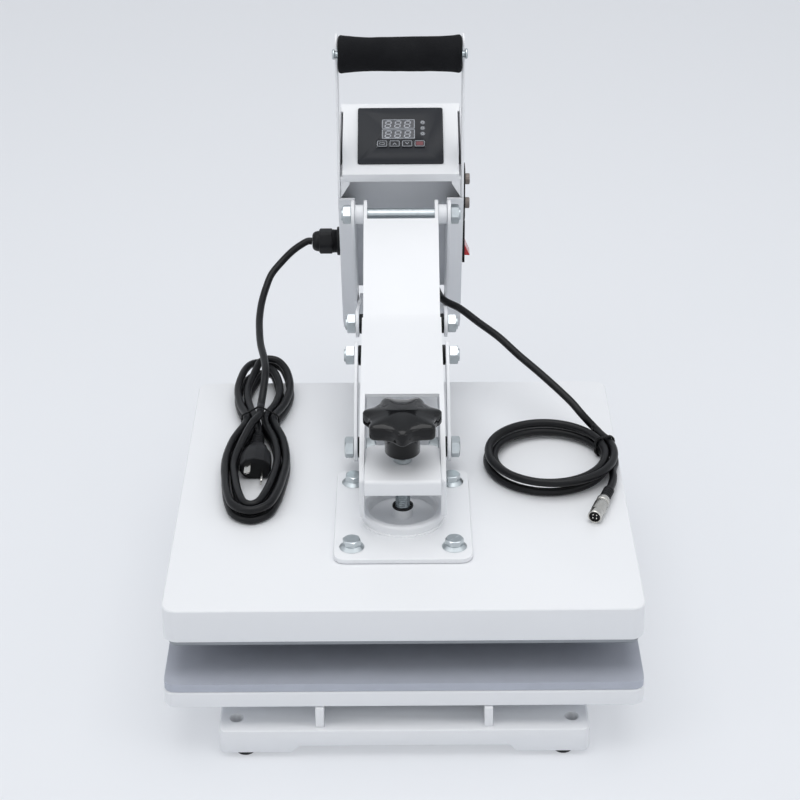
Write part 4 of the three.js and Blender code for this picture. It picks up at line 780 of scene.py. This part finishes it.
# Hexagon nuts and bolt heads, set out by a node tree
def hexTree():
    tree = bpy.data.node_groups.new("hexFasteners", "GeometryNodeTree")
    tree.is_modifier = True
    tree.interface.new_socket(name="Geometry", in_out="INPUT", socket_type="NodeSocketGeometry")
    for label, value in (("Flats", 0.019), ("Height", 0.009), ("Flange radius", 0.009),
                         ("Flange height", 0.0006)):
        tree.interface.new_socket(name=label, in_out="INPUT",
                                  socket_type="NodeSocketFloat").default_value = value
    tree.interface.new_socket(name="Material", in_out="INPUT", socket_type="NodeSocketMaterial")
    tree.interface.new_socket(name="Geometry", in_out="OUTPUT", socket_type="NodeSocketGeometry")
    given, made = tree.nodes.new("NodeGroupInput").outputs, tree.nodes.new("NodeGroupOutput")

    def value(operation, *values):
        return mathNode(tree, operation, *values)

    bar = addNode(tree, "GeometryNodeMeshCylinder",
                  {"Vertices": 48, "Side Segments": 1, "Fill Segments": 4, "Radius": 1, "Depth": 1},
                  fill_type="TRIANGLE_FAN")
    place = tree.nodes.new("GeometryNodeInputPosition").outputs[0]
    split = addNode(tree, "ShaderNodeSeparateXYZ", {0: place}).outputs
    angle = value("ARCTAN2", split["Y"], split["X"])
    squares = [value("MULTIPLY", split[axis], split[axis]) for axis in "XY"]
    reach = value("SQRT", value("ADD", *squares))
    sector = value("SUBTRACT", value("FLOORED_MODULO", angle, pi / 3), pi / 6)
    half = value("MULTIPLY", given["Flats"], 0.5)
    corner = value("DIVIDE", half, value("COSINE", sector))
    face = value("MULTIPLY", half, 0.955)
    insideRadius = value("MULTIPLY", value("DIVIDE", reach, 0.75), face)
    outer = value("GREATER_THAN", reach, 0.9)
    inner = value("SUBTRACT", 1, outer)
    radius = value("ADD", value("MULTIPLY", outer, corner), value("MULTIPLY", inner, insideRadius))
    chamfer = value("MAXIMUM", value("SUBTRACT", radius, face), 0)
    drop = value("MULTIPLY", chamfer, math.tan(radians(30)))
    upper = value("GREATER_THAN", split["Z"], 0)
    low = value("MULTIPLY", value("SUBTRACT", 1, upper), value("MULTIPLY", given["Flange height"], 0.5))
    high = value("MULTIPLY", upper, value("SUBTRACT", given["Height"], drop))
    spot = addNode(tree, "ShaderNodeCombineXYZ", {
        "X": value("MULTIPLY", radius, value("COSINE", angle)),
        "Y": value("MULTIPLY", radius, value("SINE", angle)),
        "Z": value("ADD", low, high),
    }).outputs[0]
    shape = addNode(tree, "GeometryNodeSetPosition", {"Geometry": bar.outputs["Mesh"], "Position": spot})
    flange = addNode(tree, "GeometryNodeMeshCone", {
        "Vertices": 48,
        "Radius Bottom": given["Flange radius"],
        "Radius Top": value("MINIMUM", value("MULTIPLY", given["Flange radius"], 0.96),
                            value("MULTIPLY", half, 1.12)),
        "Depth": given["Flange height"],
    }, fill_type="NGON")
    both = tree.nodes.new("GeometryNodeJoinGeometry")
    tree.links.new(flange.outputs["Mesh"], both.inputs[0])
    tree.links.new(shape.outputs["Geometry"], both.inputs[0])
    facing, stretch = [
        addNode(tree, "GeometryNodeInputNamedAttribute", {"Name": name},
                data_type="FLOAT_VECTOR").outputs["Attribute"]
        for name in ("facing", "stretch")]
    align = addNode(tree, "FunctionNodeAlignRotationToVector", {"Vector": facing}, axis="Z")
    spin = addNode(tree, "FunctionNodeRandomValue", {"Max": pi / 3, "Seed": 7}, data_type="FLOAT")
    euler = addNode(tree, "ShaderNodeCombineXYZ", {"Z": spin.outputs[1]})
    turn = addNode(tree, "FunctionNodeRotateRotation", {0: align.outputs[0], 1: euler.outputs[0]},
                   rotation_space="LOCAL")
    scatter = addNode(tree, "GeometryNodeInstanceOnPoints", {
        "Points": given["Geometry"], "Instance": both.outputs[0], "Rotation": turn.outputs[0],
        "Scale": stretch})
    real = addNode(tree, "GeometryNodeRealizeInstances", {0: scatter.outputs[0]})
    coated = addNode(tree, "GeometryNodeSetMaterial",
                     {"Geometry": real.outputs[0], "Material": given["Material"]})
    feed(tree, made, {0: coated.outputs[0]})
    return tree


def grownPiece(name, places, values):  # runs the node tree over points and keeps the plain mesh
    mesh = bpy.data.meshes.new(name + "Points")
    mesh.from_pydata([tuple(place) for place, _, _ in places], [], [])
    for label, index in (("facing", 1), ("stretch", 2)):
        layer = mesh.attributes.new(label, "FLOAT_VECTOR", "POINT")
        layer.data.foreach_set("vector", [c for row in places for c in row[index]])
    piece = link(name, mesh)
    modifier = piece.modifiers.new("grow", "NODES")
    modifier.node_group = hexFasteners
    for item in hexFasteners.interface.items_tree:
        if item.in_out == "INPUT" and item.name in values:
            modifier[item.identifier] = values[item.name]
    return plainMesh(piece, 25)


hexFasteners = hexTree()
boltPlaces = {"axle": (269, 287), "boltB": (176, 213), "boltC": (112, 212), "pivot": (30, 160),
              "hinge": (385, 130)}
reaches = {"arm": 36.5, "armPad": 37.5, "linkInner": 40.9, "linkOuter": 44.2, "earInner": 45.7,
           "earOuter": 49.0, "pivotNut": 32.9}
rodEnds = {"axle": 58.9, "boltB": 54.1, "boltC": 54.1, "pivot": (24, 44.3), "hinge": 57.0,
           "hingeSpacer": 36.3}
flangeZ = 142.3
nutSize = {"Flats": 0.017, "Height": 0.008, "Flange radius": 0.0082, "Flange height": 0.0006}
boltSize = {"Flats": 0.014, "Height": 0.008, "Flange radius": 0.01075, "Flange height": 0.0028}


def makeFasteners():
    plain = (1, 1, 1)
    armNuts = []
    for key, reach in (("axle", "earOuter"), ("boltB", "linkOuter"), ("boltC", "linkOuter"),
                       ("pivot", "linkOuter")):
        y, z = boltPlaces[key]
        for sign in (-1, 1):
            armNuts.append((mm(sign * (reaches[reach] + gap), y, z), (sign, 0, 0), plain))
    for sign in (-1, 1):
        armNuts.append((mm(sign * reaches["pivotNut"], *boltPlaces["pivot"]), (-sign, 0, 0), (1, 1, 0.96)))
    hingePlaces = [(sign, mm(sign * (reaches["earOuter"] + gap), *boltPlaces["hinge"])) for sign in (-1, 1)]
    hingeNuts = [(place, (sign, 0, 0), (1, 1, 7 / 9)) for sign, place in hingePlaces]
    heads = [(mm(x, y, flangeZ), (0, 0, 1), plain) for x in (-44, 44) for y in (-110, -2)]
    headNodes = [f"flange_bolt_{end}_{side}" for end in ("front", "rear") for side in ("left", "right")]
    for name, places, size, body, nodes in (
        ("armNuts", armNuts, nutSize, "upper_arm", []),
        ("hingeNuts", hingeNuts, nutSize, "base", []),
        ("flangeBolts", heads, boltSize, "platen", headNodes),
    ):
        settle(grownPiece(name, places, {**size, "Material": zincPlate}), zincPlate, body, *nodes)


def rod(x0, x1, place, radius=6.0, chamfer=0.6):
    y, z = place
    profile = [(0, x0), (radius - chamfer, x0), (radius, x0 + chamfer), (radius, x1 - chamfer),
               (radius - chamfer, x1), (0, x1)]
    return lathe(profile, 36, toward(mm(0, y, z), (1, 0, 0)))


def spacerRing(x0, x1, place, inner=6.1, outer=9.5):
    y, z = place
    profile = [(inner, x0), (outer - 0.4, x0), (outer, x0 + 0.4), (outer, x1 - 0.4), (outer - 0.4, x1),
               (inner, x1)]
    return ringLathe(profile, 40, toward(mm(0, y, z), (1, 0, 0)))


def makeRods():
    rods = [rod(-rodEnds[key], rodEnds[key], boltPlaces[key]) for key in ("axle", "boltB", "boltC")]
    rods += [rod(*sorted(sign * end for end in rodEnds["pivot"]), boltPlaces["pivot"]) for sign in (-1, 1)]
    rings, eyes = [], []
    for sign in (-1, 1):
        for key, start, end in (("axle", "arm", "earInner"), ("boltB", "arm", "linkInner"),
                                ("boltC", "armPad", "linkInner"),
                                ("pivot", "armPad", "linkInner")):
            a, b = sign * (reaches[start] + gap), sign * (reaches[end] - gap)
            (eyes if key == "axle" else rings).append(spacerRing(*sorted((a, b)), boltPlaces[key]))
    settle(meshPiece("armRods", rods), zincPlate, "upper_arm",
           "axle_a", "cross_bolt_b", "cross_bolt_c", "pivot_bolt_left", "pivot_bolt_right")
    settle(meshPiece("armSpacers", rings), blackMoulding, "upper_arm")
    settle(meshPiece("axleSpacers", eyes), whiteCoat, "upper_arm")
    end, spacer = rodEnds["hinge"], rodEnds["hingeSpacer"]
    pin = [rod(-end, end, boltPlaces["hinge"]), spacerRing(-spacer, spacer, boltPlaces["hinge"])]
    settle(meshPiece("hingeRod", pin), zincPlate, "base", "hinge_pin")


makeFasteners()
makeRods()
print("fasteners set")


# Pressure screw with its thread, and the star knob
screw = {"radius": 6.5, "depth": 0.75, "pitch": 2.0, "low": 142.3, "high": 214, "y": -58, "shadeRing": 150.6,
         "collar": 197.3}
knob = {
    "lobes": 7, "valley": 28.7, "tip": 34.8, "narrowing": 1.6, "bottom": 229.5, "side": 11, "middle": 246.5,
    "edgeIn": 2.2, "edgeRise": 2.4, "hub": 15.5, "hubBottom": 206, "bore": 6.9,
}


def makeScrew():
    sides = 48
    steps = int((screw["high"] - screw["low"]) / screw["pitch"] * 8)
    rows = [screw["low"] + (screw["high"] - screw["low"]) * i / steps for i in range(steps + 1)]
    vertices = []
    for z in rows:
        edge = min((z - screw["low"]) / 2.0, 1)
        for j in range(sides):
            phase = (z / screw["pitch"] - j / sides) % 1
            wave = min(abs(phase - 0.5) * 2.6, 1)
            r = (screw["radius"] - screw["depth"] * wave) - (1 - edge) * 1.2
            angle = 2 * pi * j / sides
            vertices.append(mm(r * cos(angle), screw["y"] + r * sin(angle), z))
    faces = rowFaces(len(rows), sides) + endFaces(len(rows), sides)
    settle(meshPiece("threadedScrew", [(vertices, faces)], 40), threadZinc, "knob_body", "pressure_screw")
    axis = toward(mm(0, screw["y"], 0), (0, 0, 1))
    # Black rubber-coloured ring round the screw where it meets the dome cap: painted shade, a dark ring
    # standing in for the shadow in the screw's clearance hole
    low = screw["shadeRing"]
    shadeRing = ringLathe([(7.0, low), (8.9, low), (9.2, low + 0.4), (9.2, low + 1.6), (8.8, low + 2),
                      (7.3, low + 2), (7.0, low + 1.7)], 40, axis)
    settle(meshPiece("screwShadeRing", [shadeRing]), footRubber, "platen")
    low = screw["collar"]
    collar = ringLathe([(6.7, low), (7.6, low), (8.0, low + 0.4), (8.0, low + 4.2), (7.5, low + 4.8),
                        (6.7, low + 5.0)], 48, axis)
    settle(meshPiece("screwCollar", [collar]), zincPlate, "upper_arm", "pressure_nut")


def lobePoint(angle):
    wave = 0.5 + 0.5 * cos(knob["lobes"] * (angle + pi / 2))
    radius = knob["valley"] + (knob["tip"] - knob["valley"]) * wave ** knob["narrowing"]
    return Vector(polar(radius, angle))


def makeKnob():
    sides, step = 196, 0.002
    bottom, middle, hub, foot = knob["bottom"], knob["middle"], knob["hub"], knob["hubBottom"]
    shoulder = bottom + knob["side"]
    rimTop = shoulder + knob["edgeRise"]
    angles = [2 * pi * j / sides for j in range(sides)]
    rim = [lobePoint(a) for a in angles]
    outward = []
    for a in angles:
        along = lobePoint(a + step) - lobePoint(a - step)
        outward.append(Vector((along.y, -along.x)).normalized())

    def circle(radius, z):
        return [(Vector(polar(radius, a)), z) for a in angles]

    def inside(distance, z):
        return [(point - normal * distance, z) for point, normal in zip(rim, outward)]

    def domed(share):  # round near the middle, lobed at the rim
        z = middle - (middle - rimTop) * share ** 2
        pairs = zip(inside(knob["edgeIn"], z), circle(knob["valley"], z))
        return [(lobed[0].lerp(plain[0], 1 - share) * share, z) for lobed, plain in pairs]

    rows = [domed(share) for share in (0.15, 0.3, 0.45, 0.6, 0.75, 0.88, 1.0)]
    rows += [inside(1.1, shoulder + 1.7), inside(0.4, shoulder + 0.9), inside(0, shoulder),
             inside(0, bottom + 2.6),
             inside(0.3, bottom + 1.5), inside(1, bottom + 0.6), inside(2.2, bottom)]
    rows += [circle(hub + 1.6, bottom), circle(hub + 0.7, bottom - 0.8), circle(hub, bottom - 2.4)]
    rows += [circle(hub - 0.2, foot + 1.2), circle(hub - 0.9, foot + 0.2), circle(hub - 2, foot)]
    rows += [circle(knob["bore"], foot), circle(knob["bore"], screw["high"] + 0.4)]
    vertices, faces = [mm(0, screw["y"], middle)], [(0, 1 + j, 1 + (j + 1) % sides) for j in range(sides)]
    for row in rows:
        vertices += [mm(place.x, screw["y"] + place.y, z) for place, z in row]
    faces += rowFaces(len(rows), sides, 1)
    last = 1 + (len(rows) - 1) * sides
    faces.append(tuple(range(last, last + sides)))
    settle(meshPiece("starKnob", [(vertices, faces)], 50), glossPhenolic, "knob_body", "knob")


makeScrew()
makeKnob()
print("screw and knob made")


# Silicone pad and insulation
# A grid slab with rounded sides and an uneven skin, in metres
def softSlab(name, box, inset, radius, wobble, cells, crown):
    low, high = box
    nx, ny = cells
    vertices, faces = [], []
    thickness = high.z - low.z
    rings = [(0.0, inset + 0.0003), (0.04, inset), (0.5, inset), (0.95, inset), (1.0, inset + 0.0005)]

    def corner(x, y, inset):
        hx, hy = (high.x - low.x) / 2 - inset, (high.y - low.y) / 2 - inset
        cx, cy = (high.x + low.x) / 2, (high.y + low.y) / 2
        px, py = max(-hx, min(hx, x - cx)), max(-hy, min(hy, y - cy))
        ex, ey = abs(px) - (hx - radius), abs(py) - (hy - radius)
        if ex > 0 and ey > 0 and math.hypot(ex, ey) > radius:
            scale = radius / math.hypot(ex, ey)
            px = math.copysign(hx - radius + ex * scale, px)
            py = math.copysign(hy - radius + ey * scale, py)
        return cx + px, cy + py

    def grid(z, inset, lift):
        rows = []
        for j in range(ny + 1):
            row = []
            for i in range(nx + 1):
                x, y = corner(low.x + (high.x - low.x) * i / nx, low.y + (high.y - low.y) * j / ny, inset)
                edge = min(i, nx - i, j, ny - j)
                swell = noise.noise(Vector((x, y, z)) * 26) * wobble + crown * min(edge / 6, 1)
                rise = lift * swell if edge else 0
                row.append(len(vertices))
                vertices.append(Vector((x, y, z + rise)))
            rows.append(row)
        return rows

    bottom = grid(low.z, rings[0][1], 0)
    top = grid(high.z - max(crown, 0), rings[-1][1], 1)

    def border(rows):
        return rows[0] + [r[-1] for r in rows[1:]] + rows[-1][-2::-1] + [r[0] for r in rows[-2:0:-1]]

    loops = [border(bottom)]
    rim = border(bottom)
    for share, ringInset in rings[1:-1]:
        loop = []
        for index in rim:
            x, y = cornerOut(vertices[index], low, high, rings[0][1], ringInset)
            loop.append(len(vertices))
            z = low.z + thickness * share
            bulge = noise.noise(Vector((x * 30, y * 30, z * 60))) * wobble * 0.6
            vertices.append(Vector((x, y, z)) + Vector((math.copysign(min(bulge, 0), x), 0, 0)))
        loops.append(loop)
    loops.append(border(top))
    for a, b in zip(loops, loops[1:]):
        for i in range(len(a)):
            j = (i + 1) % len(a)
            faces.append((a[i], a[j], b[j], b[i]))
    for rows in (bottom, top):
        for j in range(ny):
            for i in range(nx):
                faces.append((rows[j][i], rows[j][i + 1], rows[j + 1][i + 1], rows[j + 1][i]))
    return meshPiece(name, [(vertices, faces)], 40)


def cornerOut(place, low, high, fromInset, toInset):
    cx, cy = (high.x + low.x) / 2, (high.y + low.y) / 2
    hx, hy = (high.x - low.x) / 2, (high.y - low.y) / 2
    return (cx + (place.x - cx) * (hx - toInset) / (hx - fromInset),
            cy + (place.y - cy) * (hy - toInset) / (hy - fromInset))


def makeSoftLayers():
    pad = softSlab("siliconePad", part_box("silicone_pad"), 0.0002, 0.009, 0.0005, (64, 64), 0.0004)
    settle(pad, siliconeGrey, "base", "silicone_pad")
    blanket = softSlab("insulationBlanket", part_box("insulation"), 0.0004, 0.008, 0.0004, (48, 48), 0.0003)
    settle(blanket, fibreBlanket, "platen", "insulation")


makeSoftLayers()


# Foam grip on the handle
grip = {"y": 288.5, "z": 445, "half": 59.3, "waist": 16.3, "flare": 18.2, "bore": 8.4, "round": 3.2}


def makeGrip():
    rows, sides, steps = 60, 64, 5
    half, waist, flare, edge = grip["half"], grip["waist"], grip["flare"], grip["round"]
    turns = [radians(90 * i / steps) for i in range(steps + 1)]
    profile = [(grip["bore"], -half), (flare - edge, -half)]
    profile += [(flare - edge * (1 - sin(a)), -half + edge * (1 - cos(a))) for a in turns[1:]]
    span = half - edge - 0.5
    for i in range(rows + 1):
        share = 2 * i / rows - 1
        sag = 0.35 * sin(3.1 * share + 0.6)
        profile.append((waist + (flare - waist) * share**4 + sag * (1 - share**2), share * span))
    profile += [(flare - edge * (1 - cos(a)), half - edge * (1 - sin(a))) for a in turns[:-1]]
    profile += [(flare - edge, half), (grip["bore"], half)]

    def lumps(angle, radius, height):
        if radius < grip["bore"] + 2 or abs(height) > span:
            return 0
        spot = Vector((cos(angle) * 1.6, sin(angle) * 1.6, height * 0.09))
        return -abs(noise.noise(spot)) * 0.35 + noise.noise(spot * 9) * 0.06

    axis = toward(mm(0, grip["y"], grip["z"]), (1, 0, 0))
    foam = meshPiece("foamGrip", [ringLathe(profile, sides, axis, lumps)], 60)
    settle(foam, gripFoam, "upper_arm", "handle_grip")


makeGrip()
print("soft pieces made")


# Rubber feet
rubberFoot = {"x": 134.5, "ys": (-205.5, 391.5)}


def makeFeet():
    profile = [(0, 0), (7.2, 0), (7.9, 0.3), (8.4, 1.2), (8.5, 3.0), (8.2, 3.7), (7.6, 4.0),
               (2.5, 4.0), (2.5, 9.8), (0, 9.8)]
    places = [(x, y) for x in (-rubberFoot["x"], rubberFoot["x"]) for y in rubberFoot["ys"]]
    feet = [lathe(profile, 40, toward(mm(x, y, 0), (0, 0, 1))) for x, y in places]
    settle(meshPiece("rubberFeet", feet), footRubber, "base",
           "foot_front_left", "foot_front_right", "foot_rear_left", "foot_rear_right")


makeFeet()


# Cord gland on the left wall
gland = {"y": 335, "z": 229, "flats": 24, "nut": 14}


def makeGland():
    base = toward(mm(-62.6, gland["y"], gland["z"]), (-1, 0, 0))
    body = lathe([(0, -11), (8, -11), (8, 0), (14.2, 0), (14.6, 0.4), (14.6, 2.6), (14.1, 3.0),
                  (12.1, 3.0), (11.6, 3.6), (12.1, 4.2), (11.6, 4.8), (12.1, 5.4), (11.6, 6.0),
                  (12.1, 6.6), (12.1, 7.3), (0, 7.3)],
                  60, base)
    settle(meshPiece("glandBody", [body]), blackMoulding, "upper_arm", "cord_gland")
    low, high = 7.4, 7.4 + gland["nut"]

    def hexagonWave(angle, radius, height):
        sector = angle % (pi / 3) - pi / 6
        corner = gland["flats"] / 2 / cos(sector)
        limit = 13.0 if low + 1.2 < height < high - 1.2 else 12.35
        return min(corner, limit) - 12 if radius == 12 else 0

    nut = lathe([(0, low), (11.4, low), (12, low + 0.7), (12, low + 1.3), (12, high - 1.3),
                 (12, high - 0.7), (11.3, high), (10.6, high + 0.2), (10.3, high + 2.4),
                 (9.6, high + 4.6), (8.3, high + 6.2), (6.6, high + 7.0), (5.0, high + 7.0),
                 (4.4, high + 6.4), (4.4, high + 3), (0, high + 3)],
                96, base, hexagonWave)
    settle(meshPiece("glandNut", [nut]), blackMoulding, "upper_arm")


makeGland()


# Fuse holders: a knurled cap with a screwdriver slot
fuse = {"y": 325, "places": {"upper": 301, "lower": 275}, "ridges": 22}


def makeFuses():
    for side, z in fuse["places"].items():
        node = f"fuse_cap_{side}"
        axis = toward(mm(64.9, fuse["y"], z), (1, 0, 0))

        def ridge(angle, radius, height):
            if radius >= 5.55 and 0.6 < height < 4.0:
                return -0.3 * (0.5 + 0.5 * cos(fuse["ridges"] * angle))
            return 0

        cap = lathe([(0, -5), (4, -5), (4, 0), (5.4, 0), (5.6, 0.3), (5.6, 0.9), (5.6, 3.6), (5.4, 4.1),
                     (4.7, 4.5), (0, 4.5)], 132, axis, ridge)
        piece = meshPiece(node + "Finished", [cap])
        slotBox = prism([(-6, -0.55), (6, -0.55), (6, 0.55), (-6, 0.55)], 3.4, 5.5, axis)
        cutter = meshPiece("slotCutter", [slotBox])
        boolean = piece.modifiers.new("slot", "BOOLEAN")
        boolean.operation = "DIFFERENCE"
        boolean.object = cutter
        boolean.solver = "EXACT"
        plainMesh(piece)
        bpy.data.objects.remove(cutter)
        settle(piece, fuseMoulding, f"fuse_{side}", node)


makeFuses()
print("gland and fuses made")


# Panel: film, two displays, lamps and four keys
slope = math.atan2(366 - 322.7, 366 - 285)
facePlace = Matrix.Translation(mm(0, 285, 322.7)) @ Matrix.Rotation(slope, 4, "X")
panel = {
    "top": 2.0, "windowX": (-17.5, 13.5), "windows": ((44.5, 55.6), (57.4, 68.6)), "line": 0.55,
    "lampX": 22.2, "lamps": (65.1, 57.6, 50.3),
    "digit": (5.2, 8.4), "digitPitch": 9.6, "digitBar": 1.3, "lean": 9,
    "keyX": -18.3, "keyPitch": 12.45, "keyS": 37.3, "keyW": 10.4, "keyL": 9.8, "keyTop": 2.6,
}


# An outline with a line's width, on the panel's face
def frameStrip(u0, v0, u1, v1, radius, width, low, high):
    outer = roundedBox(u0, v0, u1, v1, radius)
    inner = roundedBox(u0 + width, v0 + width, u1 - width, v1 - width, max(radius - width, 0.05))
    rows = [(outer, low), (outer, high), (inner, high), (inner, low)]
    vertices = [facePlace @ Vector((u / 1000, v / 1000, h / 1000)) for row, h in rows for u, v in row]
    return vertices, rowFaces(len(rows), len(outer), closed=True)


def segmentDigit(x, s, low, high):  # one slanted seven-segment figure
    bar = panel["digitBar"]
    lean = math.tan(radians(panel["lean"]))

    def bevelBar(x0, s0, x1, s1):
        along = Vector((x1 - x0, s1 - s0)).normalized()
        side = Vector((-along.y, along.x)) * bar / 2
        a, b = Vector((x0, s0)) + along * 0.35, Vector((x1, s1)) - along * 0.35
        inset = along * bar / 2
        points = [a, a + inset + side, b - inset + side, b, b - inset - side, a + inset - side]
        return [(p.x + (p.y - s) * lean, p.y) for p in points]

    w, h = (size / 2 for size in panel["digit"])
    bars = [(-w, h, w, h), (-w, 0, w, 0), (-w, -h, w, -h), (-w, 0, -w, h), (w, 0, w, h), (-w, -h, -w, 0),
            (w, -h, w, 0)]
    return [prism(bevelBar(x + a, s + b, x + c, s + d), low, high, facePlace) for a, b, c, d in bars]


def makePanel():
    film = refined("panel_overlay", 0.12, 2)
    settle(film, panelFilm, "upper_arm", "panel_overlay")
    glass, outlines, digits = [], [], []
    x0, x1 = panel["windowX"]
    top = panel["top"]
    for s0, s1 in panel["windows"]:
        pane = roundedBox(x0 + 0.1, s0 + 0.1, x1 - 0.1, s1 - 0.1, 0.4, 2)
        glass.append(prism(pane, top - 0.55, top - 0.25, facePlace))
        line = panel["line"] + 0.4
        outlines.append(frameStrip(x0 - 0.9, s0 - 0.4, x1 + 0.9, s1 + 0.4, 0.8, line, top + 0.02,
                                   top + 0.1))
        for i in range(3):
            x = (x0 + x1) / 2 + (i - 1) * panel["digitPitch"] - 0.6
            digits += segmentDigit(x, (s0 + s1) / 2, top - 0.24, top - 0.16)
    settle(meshPiece("displayGlass", glass), windowFilm, "upper_arm")
    settle(meshPiece("displayDigits", digits), segmentGrey, "upper_arm")
    lamps = []
    for s in panel["lamps"]:
        spot = facePlace @ Matrix.Translation(Vector((panel["lampX"], s, top)) / 1000)
        lamps.append(ringLathe([(0.7, 0.02), (1.5, 0.02), (1.5, 0.3), (1.3, 0.5), (0.9, 0.5), (0.7, 0.3)],
                               24, spot))
        outlines.append(ringLathe([(1.9, 0.02), (2.3, 0.02), (2.3, 0.1), (1.9, 0.1)], 28, spot))
    settle(meshPiece("panelLamps", lamps), lampGrey, "upper_arm")
    settle(meshPiece("panelOutlines", outlines), printGrey, "upper_arm")


def arrowParts(x, s, sign, low, high):  # a small chevron
    w, h, t = 2.0, 1.2, 0.55
    outline = [(x - w, s - sign * h), (x, s + sign * h), (x + w, s - sign * h),
               (x + w - t, s - sign * (h + t)),
               (x, s + sign * (h - 2 * t)), (x - w + t, s - sign * (h + t))]
    return prism(outline, low, high, facePlace)


def makeKeys():
    low, high = panel["keyTop"] + 0.02, panel["keyTop"] + 0.09
    for i in range(4):
        x, s = panel["keyX"] + i * panel["keyPitch"], panel["keyS"]
        node, body = f"key_{i + 1}", f"key_{i + 1}_body"
        cap = refined(node, 0.3, 2)
        w, l = panel["keyW"] / 2, panel["keyL"] / 2
        marks = [frameStrip(x - w + 0.3, s - l + 1.2, x + w - 0.3, s + l - 1.2, 1.0, 0.6, low, high)]
        if i == 0:
            marks.append(frameStrip(x - 2.9, s - 1.4, x + 2.9, s + 1.4, 1.3, 0.5, low, high))
        elif i < 3:
            marks.append(arrowParts(x, s, 1 if i == 1 else -1, low, high))
        mark = meshPiece(node + "Mark", marks)
        if i == 3:
            fill = prism(roundedBox(x - 3.6, s - 2.4, x + 3.6, s + 2.4, 0.6, 3), low, high, facePlace)
            settle(meshPiece(node + "Fill", [fill]), printRed, body)
        settle(cap, panelFilm, body, node, slot="red_plastic" if i == 3 else None)
        settle(mark, printGrey, body)


makePanel()
makeKeys()
print("panel made")


# Studio: floor, backdrop and soft lamps
studio = {
    "floor": srgb("E9ECF1"), "back": 2.2, "bend": 1.2, "floorOwn": 0.5,
    "world": 0.56, "key": 18.2, "side": 3.0, "front": 1.5,
}


def showColour(tree):  # 1 where the camera, a mirror or glass sees it
    path = tree.nodes.new("ShaderNodeLightPath").outputs
    first = mathNode(tree, "MAXIMUM", path["Is Camera Ray"], path["Is Glossy Ray"])
    return mathNode(tree, "MAXIMUM", first, path["Is Transmission Ray"])


def mixShaders(tree, share, first, second, output):
    mix = addNode(tree, "ShaderNodeMixShader", {0: share, 1: first.outputs[0], 2: second.outputs[0]})
    feed(tree, tree.nodes[output], {"Surface": mix.outputs[0]})


def makeStudio():
    work = bmesh.new()
    back, bend = studio["back"], studio["bend"]
    turns = [radians(a) for a in range(9, 91, 9)]
    profile = [(-6, 0), (back, 0)] + [(back + bend * sin(a), bend - bend * cos(a))
                                      for a in turns] + [(3.4, 5)]
    rows = [[work.verts.new((x, y, z - 0.0002)) for x in (-8, 8)] for y, z in profile]
    for a, b in zip(rows, rows[1:]):
        work.faces.new((a[0], a[1], b[1], b[0]))
    mesh = bpy.data.meshes.new("studioFloor")
    work.to_mesh(mesh)
    work.free()
    mesh.shade_smooth()
    floor = link("studioFloor", mesh)
    material = bpy.data.materials.new("studioPaper")
    material.use_nodes = True
    tree = material.node_tree
    colour = (*studio["floor"], 1)
    paper = tree.nodes["Principled BSDF"]
    feed(tree, paper, {"Base Color": colour, "Roughness": 0.9})
    glow = addNode(tree, "ShaderNodeEmission", {"Color": colour})
    share = mathNode(tree, "MULTIPLY", showColour(tree), 1 - studio["floorOwn"])
    mixShaders(tree, share, paper, glow, "Material Output")
    mesh.materials.append(material)
    world = bpy.data.worlds.new("studioAir")
    scene.world = world
    world.use_nodes = True
    tree = world.node_tree
    air = tree.nodes["Background"]
    feed(tree, air, {"Color": (0.97, 0.98, 1.0, 1), "Strength": studio["world"]})
    seen = addNode(tree, "ShaderNodeBackground", {"Color": colour, "Strength": 1.0})
    mixShaders(tree, showColour(tree), air, seen, "World Output")


def areaLamp(name, place, target, size, energy):
    data = bpy.data.lights.new(name, "AREA")
    data.shape = "RECTANGLE"
    data.size, data.size_y = size
    data.energy = energy
    link(name, data).matrix_world = toward(place, Vector(target) - Vector(place), "-Z")


makeStudio()
areaLamp("topSoftbox", (0.0, -0.1, 1.9), (0, 0, 0.1), (1.8, 1.8), studio["key"])
areaLamp("frontSoftbox", (0.0, -2.3, 0.75), (0, 0.1, 0.25), (2.2, 0.9), studio["front"])
areaLamp("leftSoftbox", (-1.6, -0.9, 1.2), (0, 0, 0.2), (1.0, 1.4), studio["side"])
areaLamp("rightSoftbox", (1.6, -0.9, 1.2), (0, 0, 0.2), (1.0, 1.4), studio["side"])
print("studio lit")
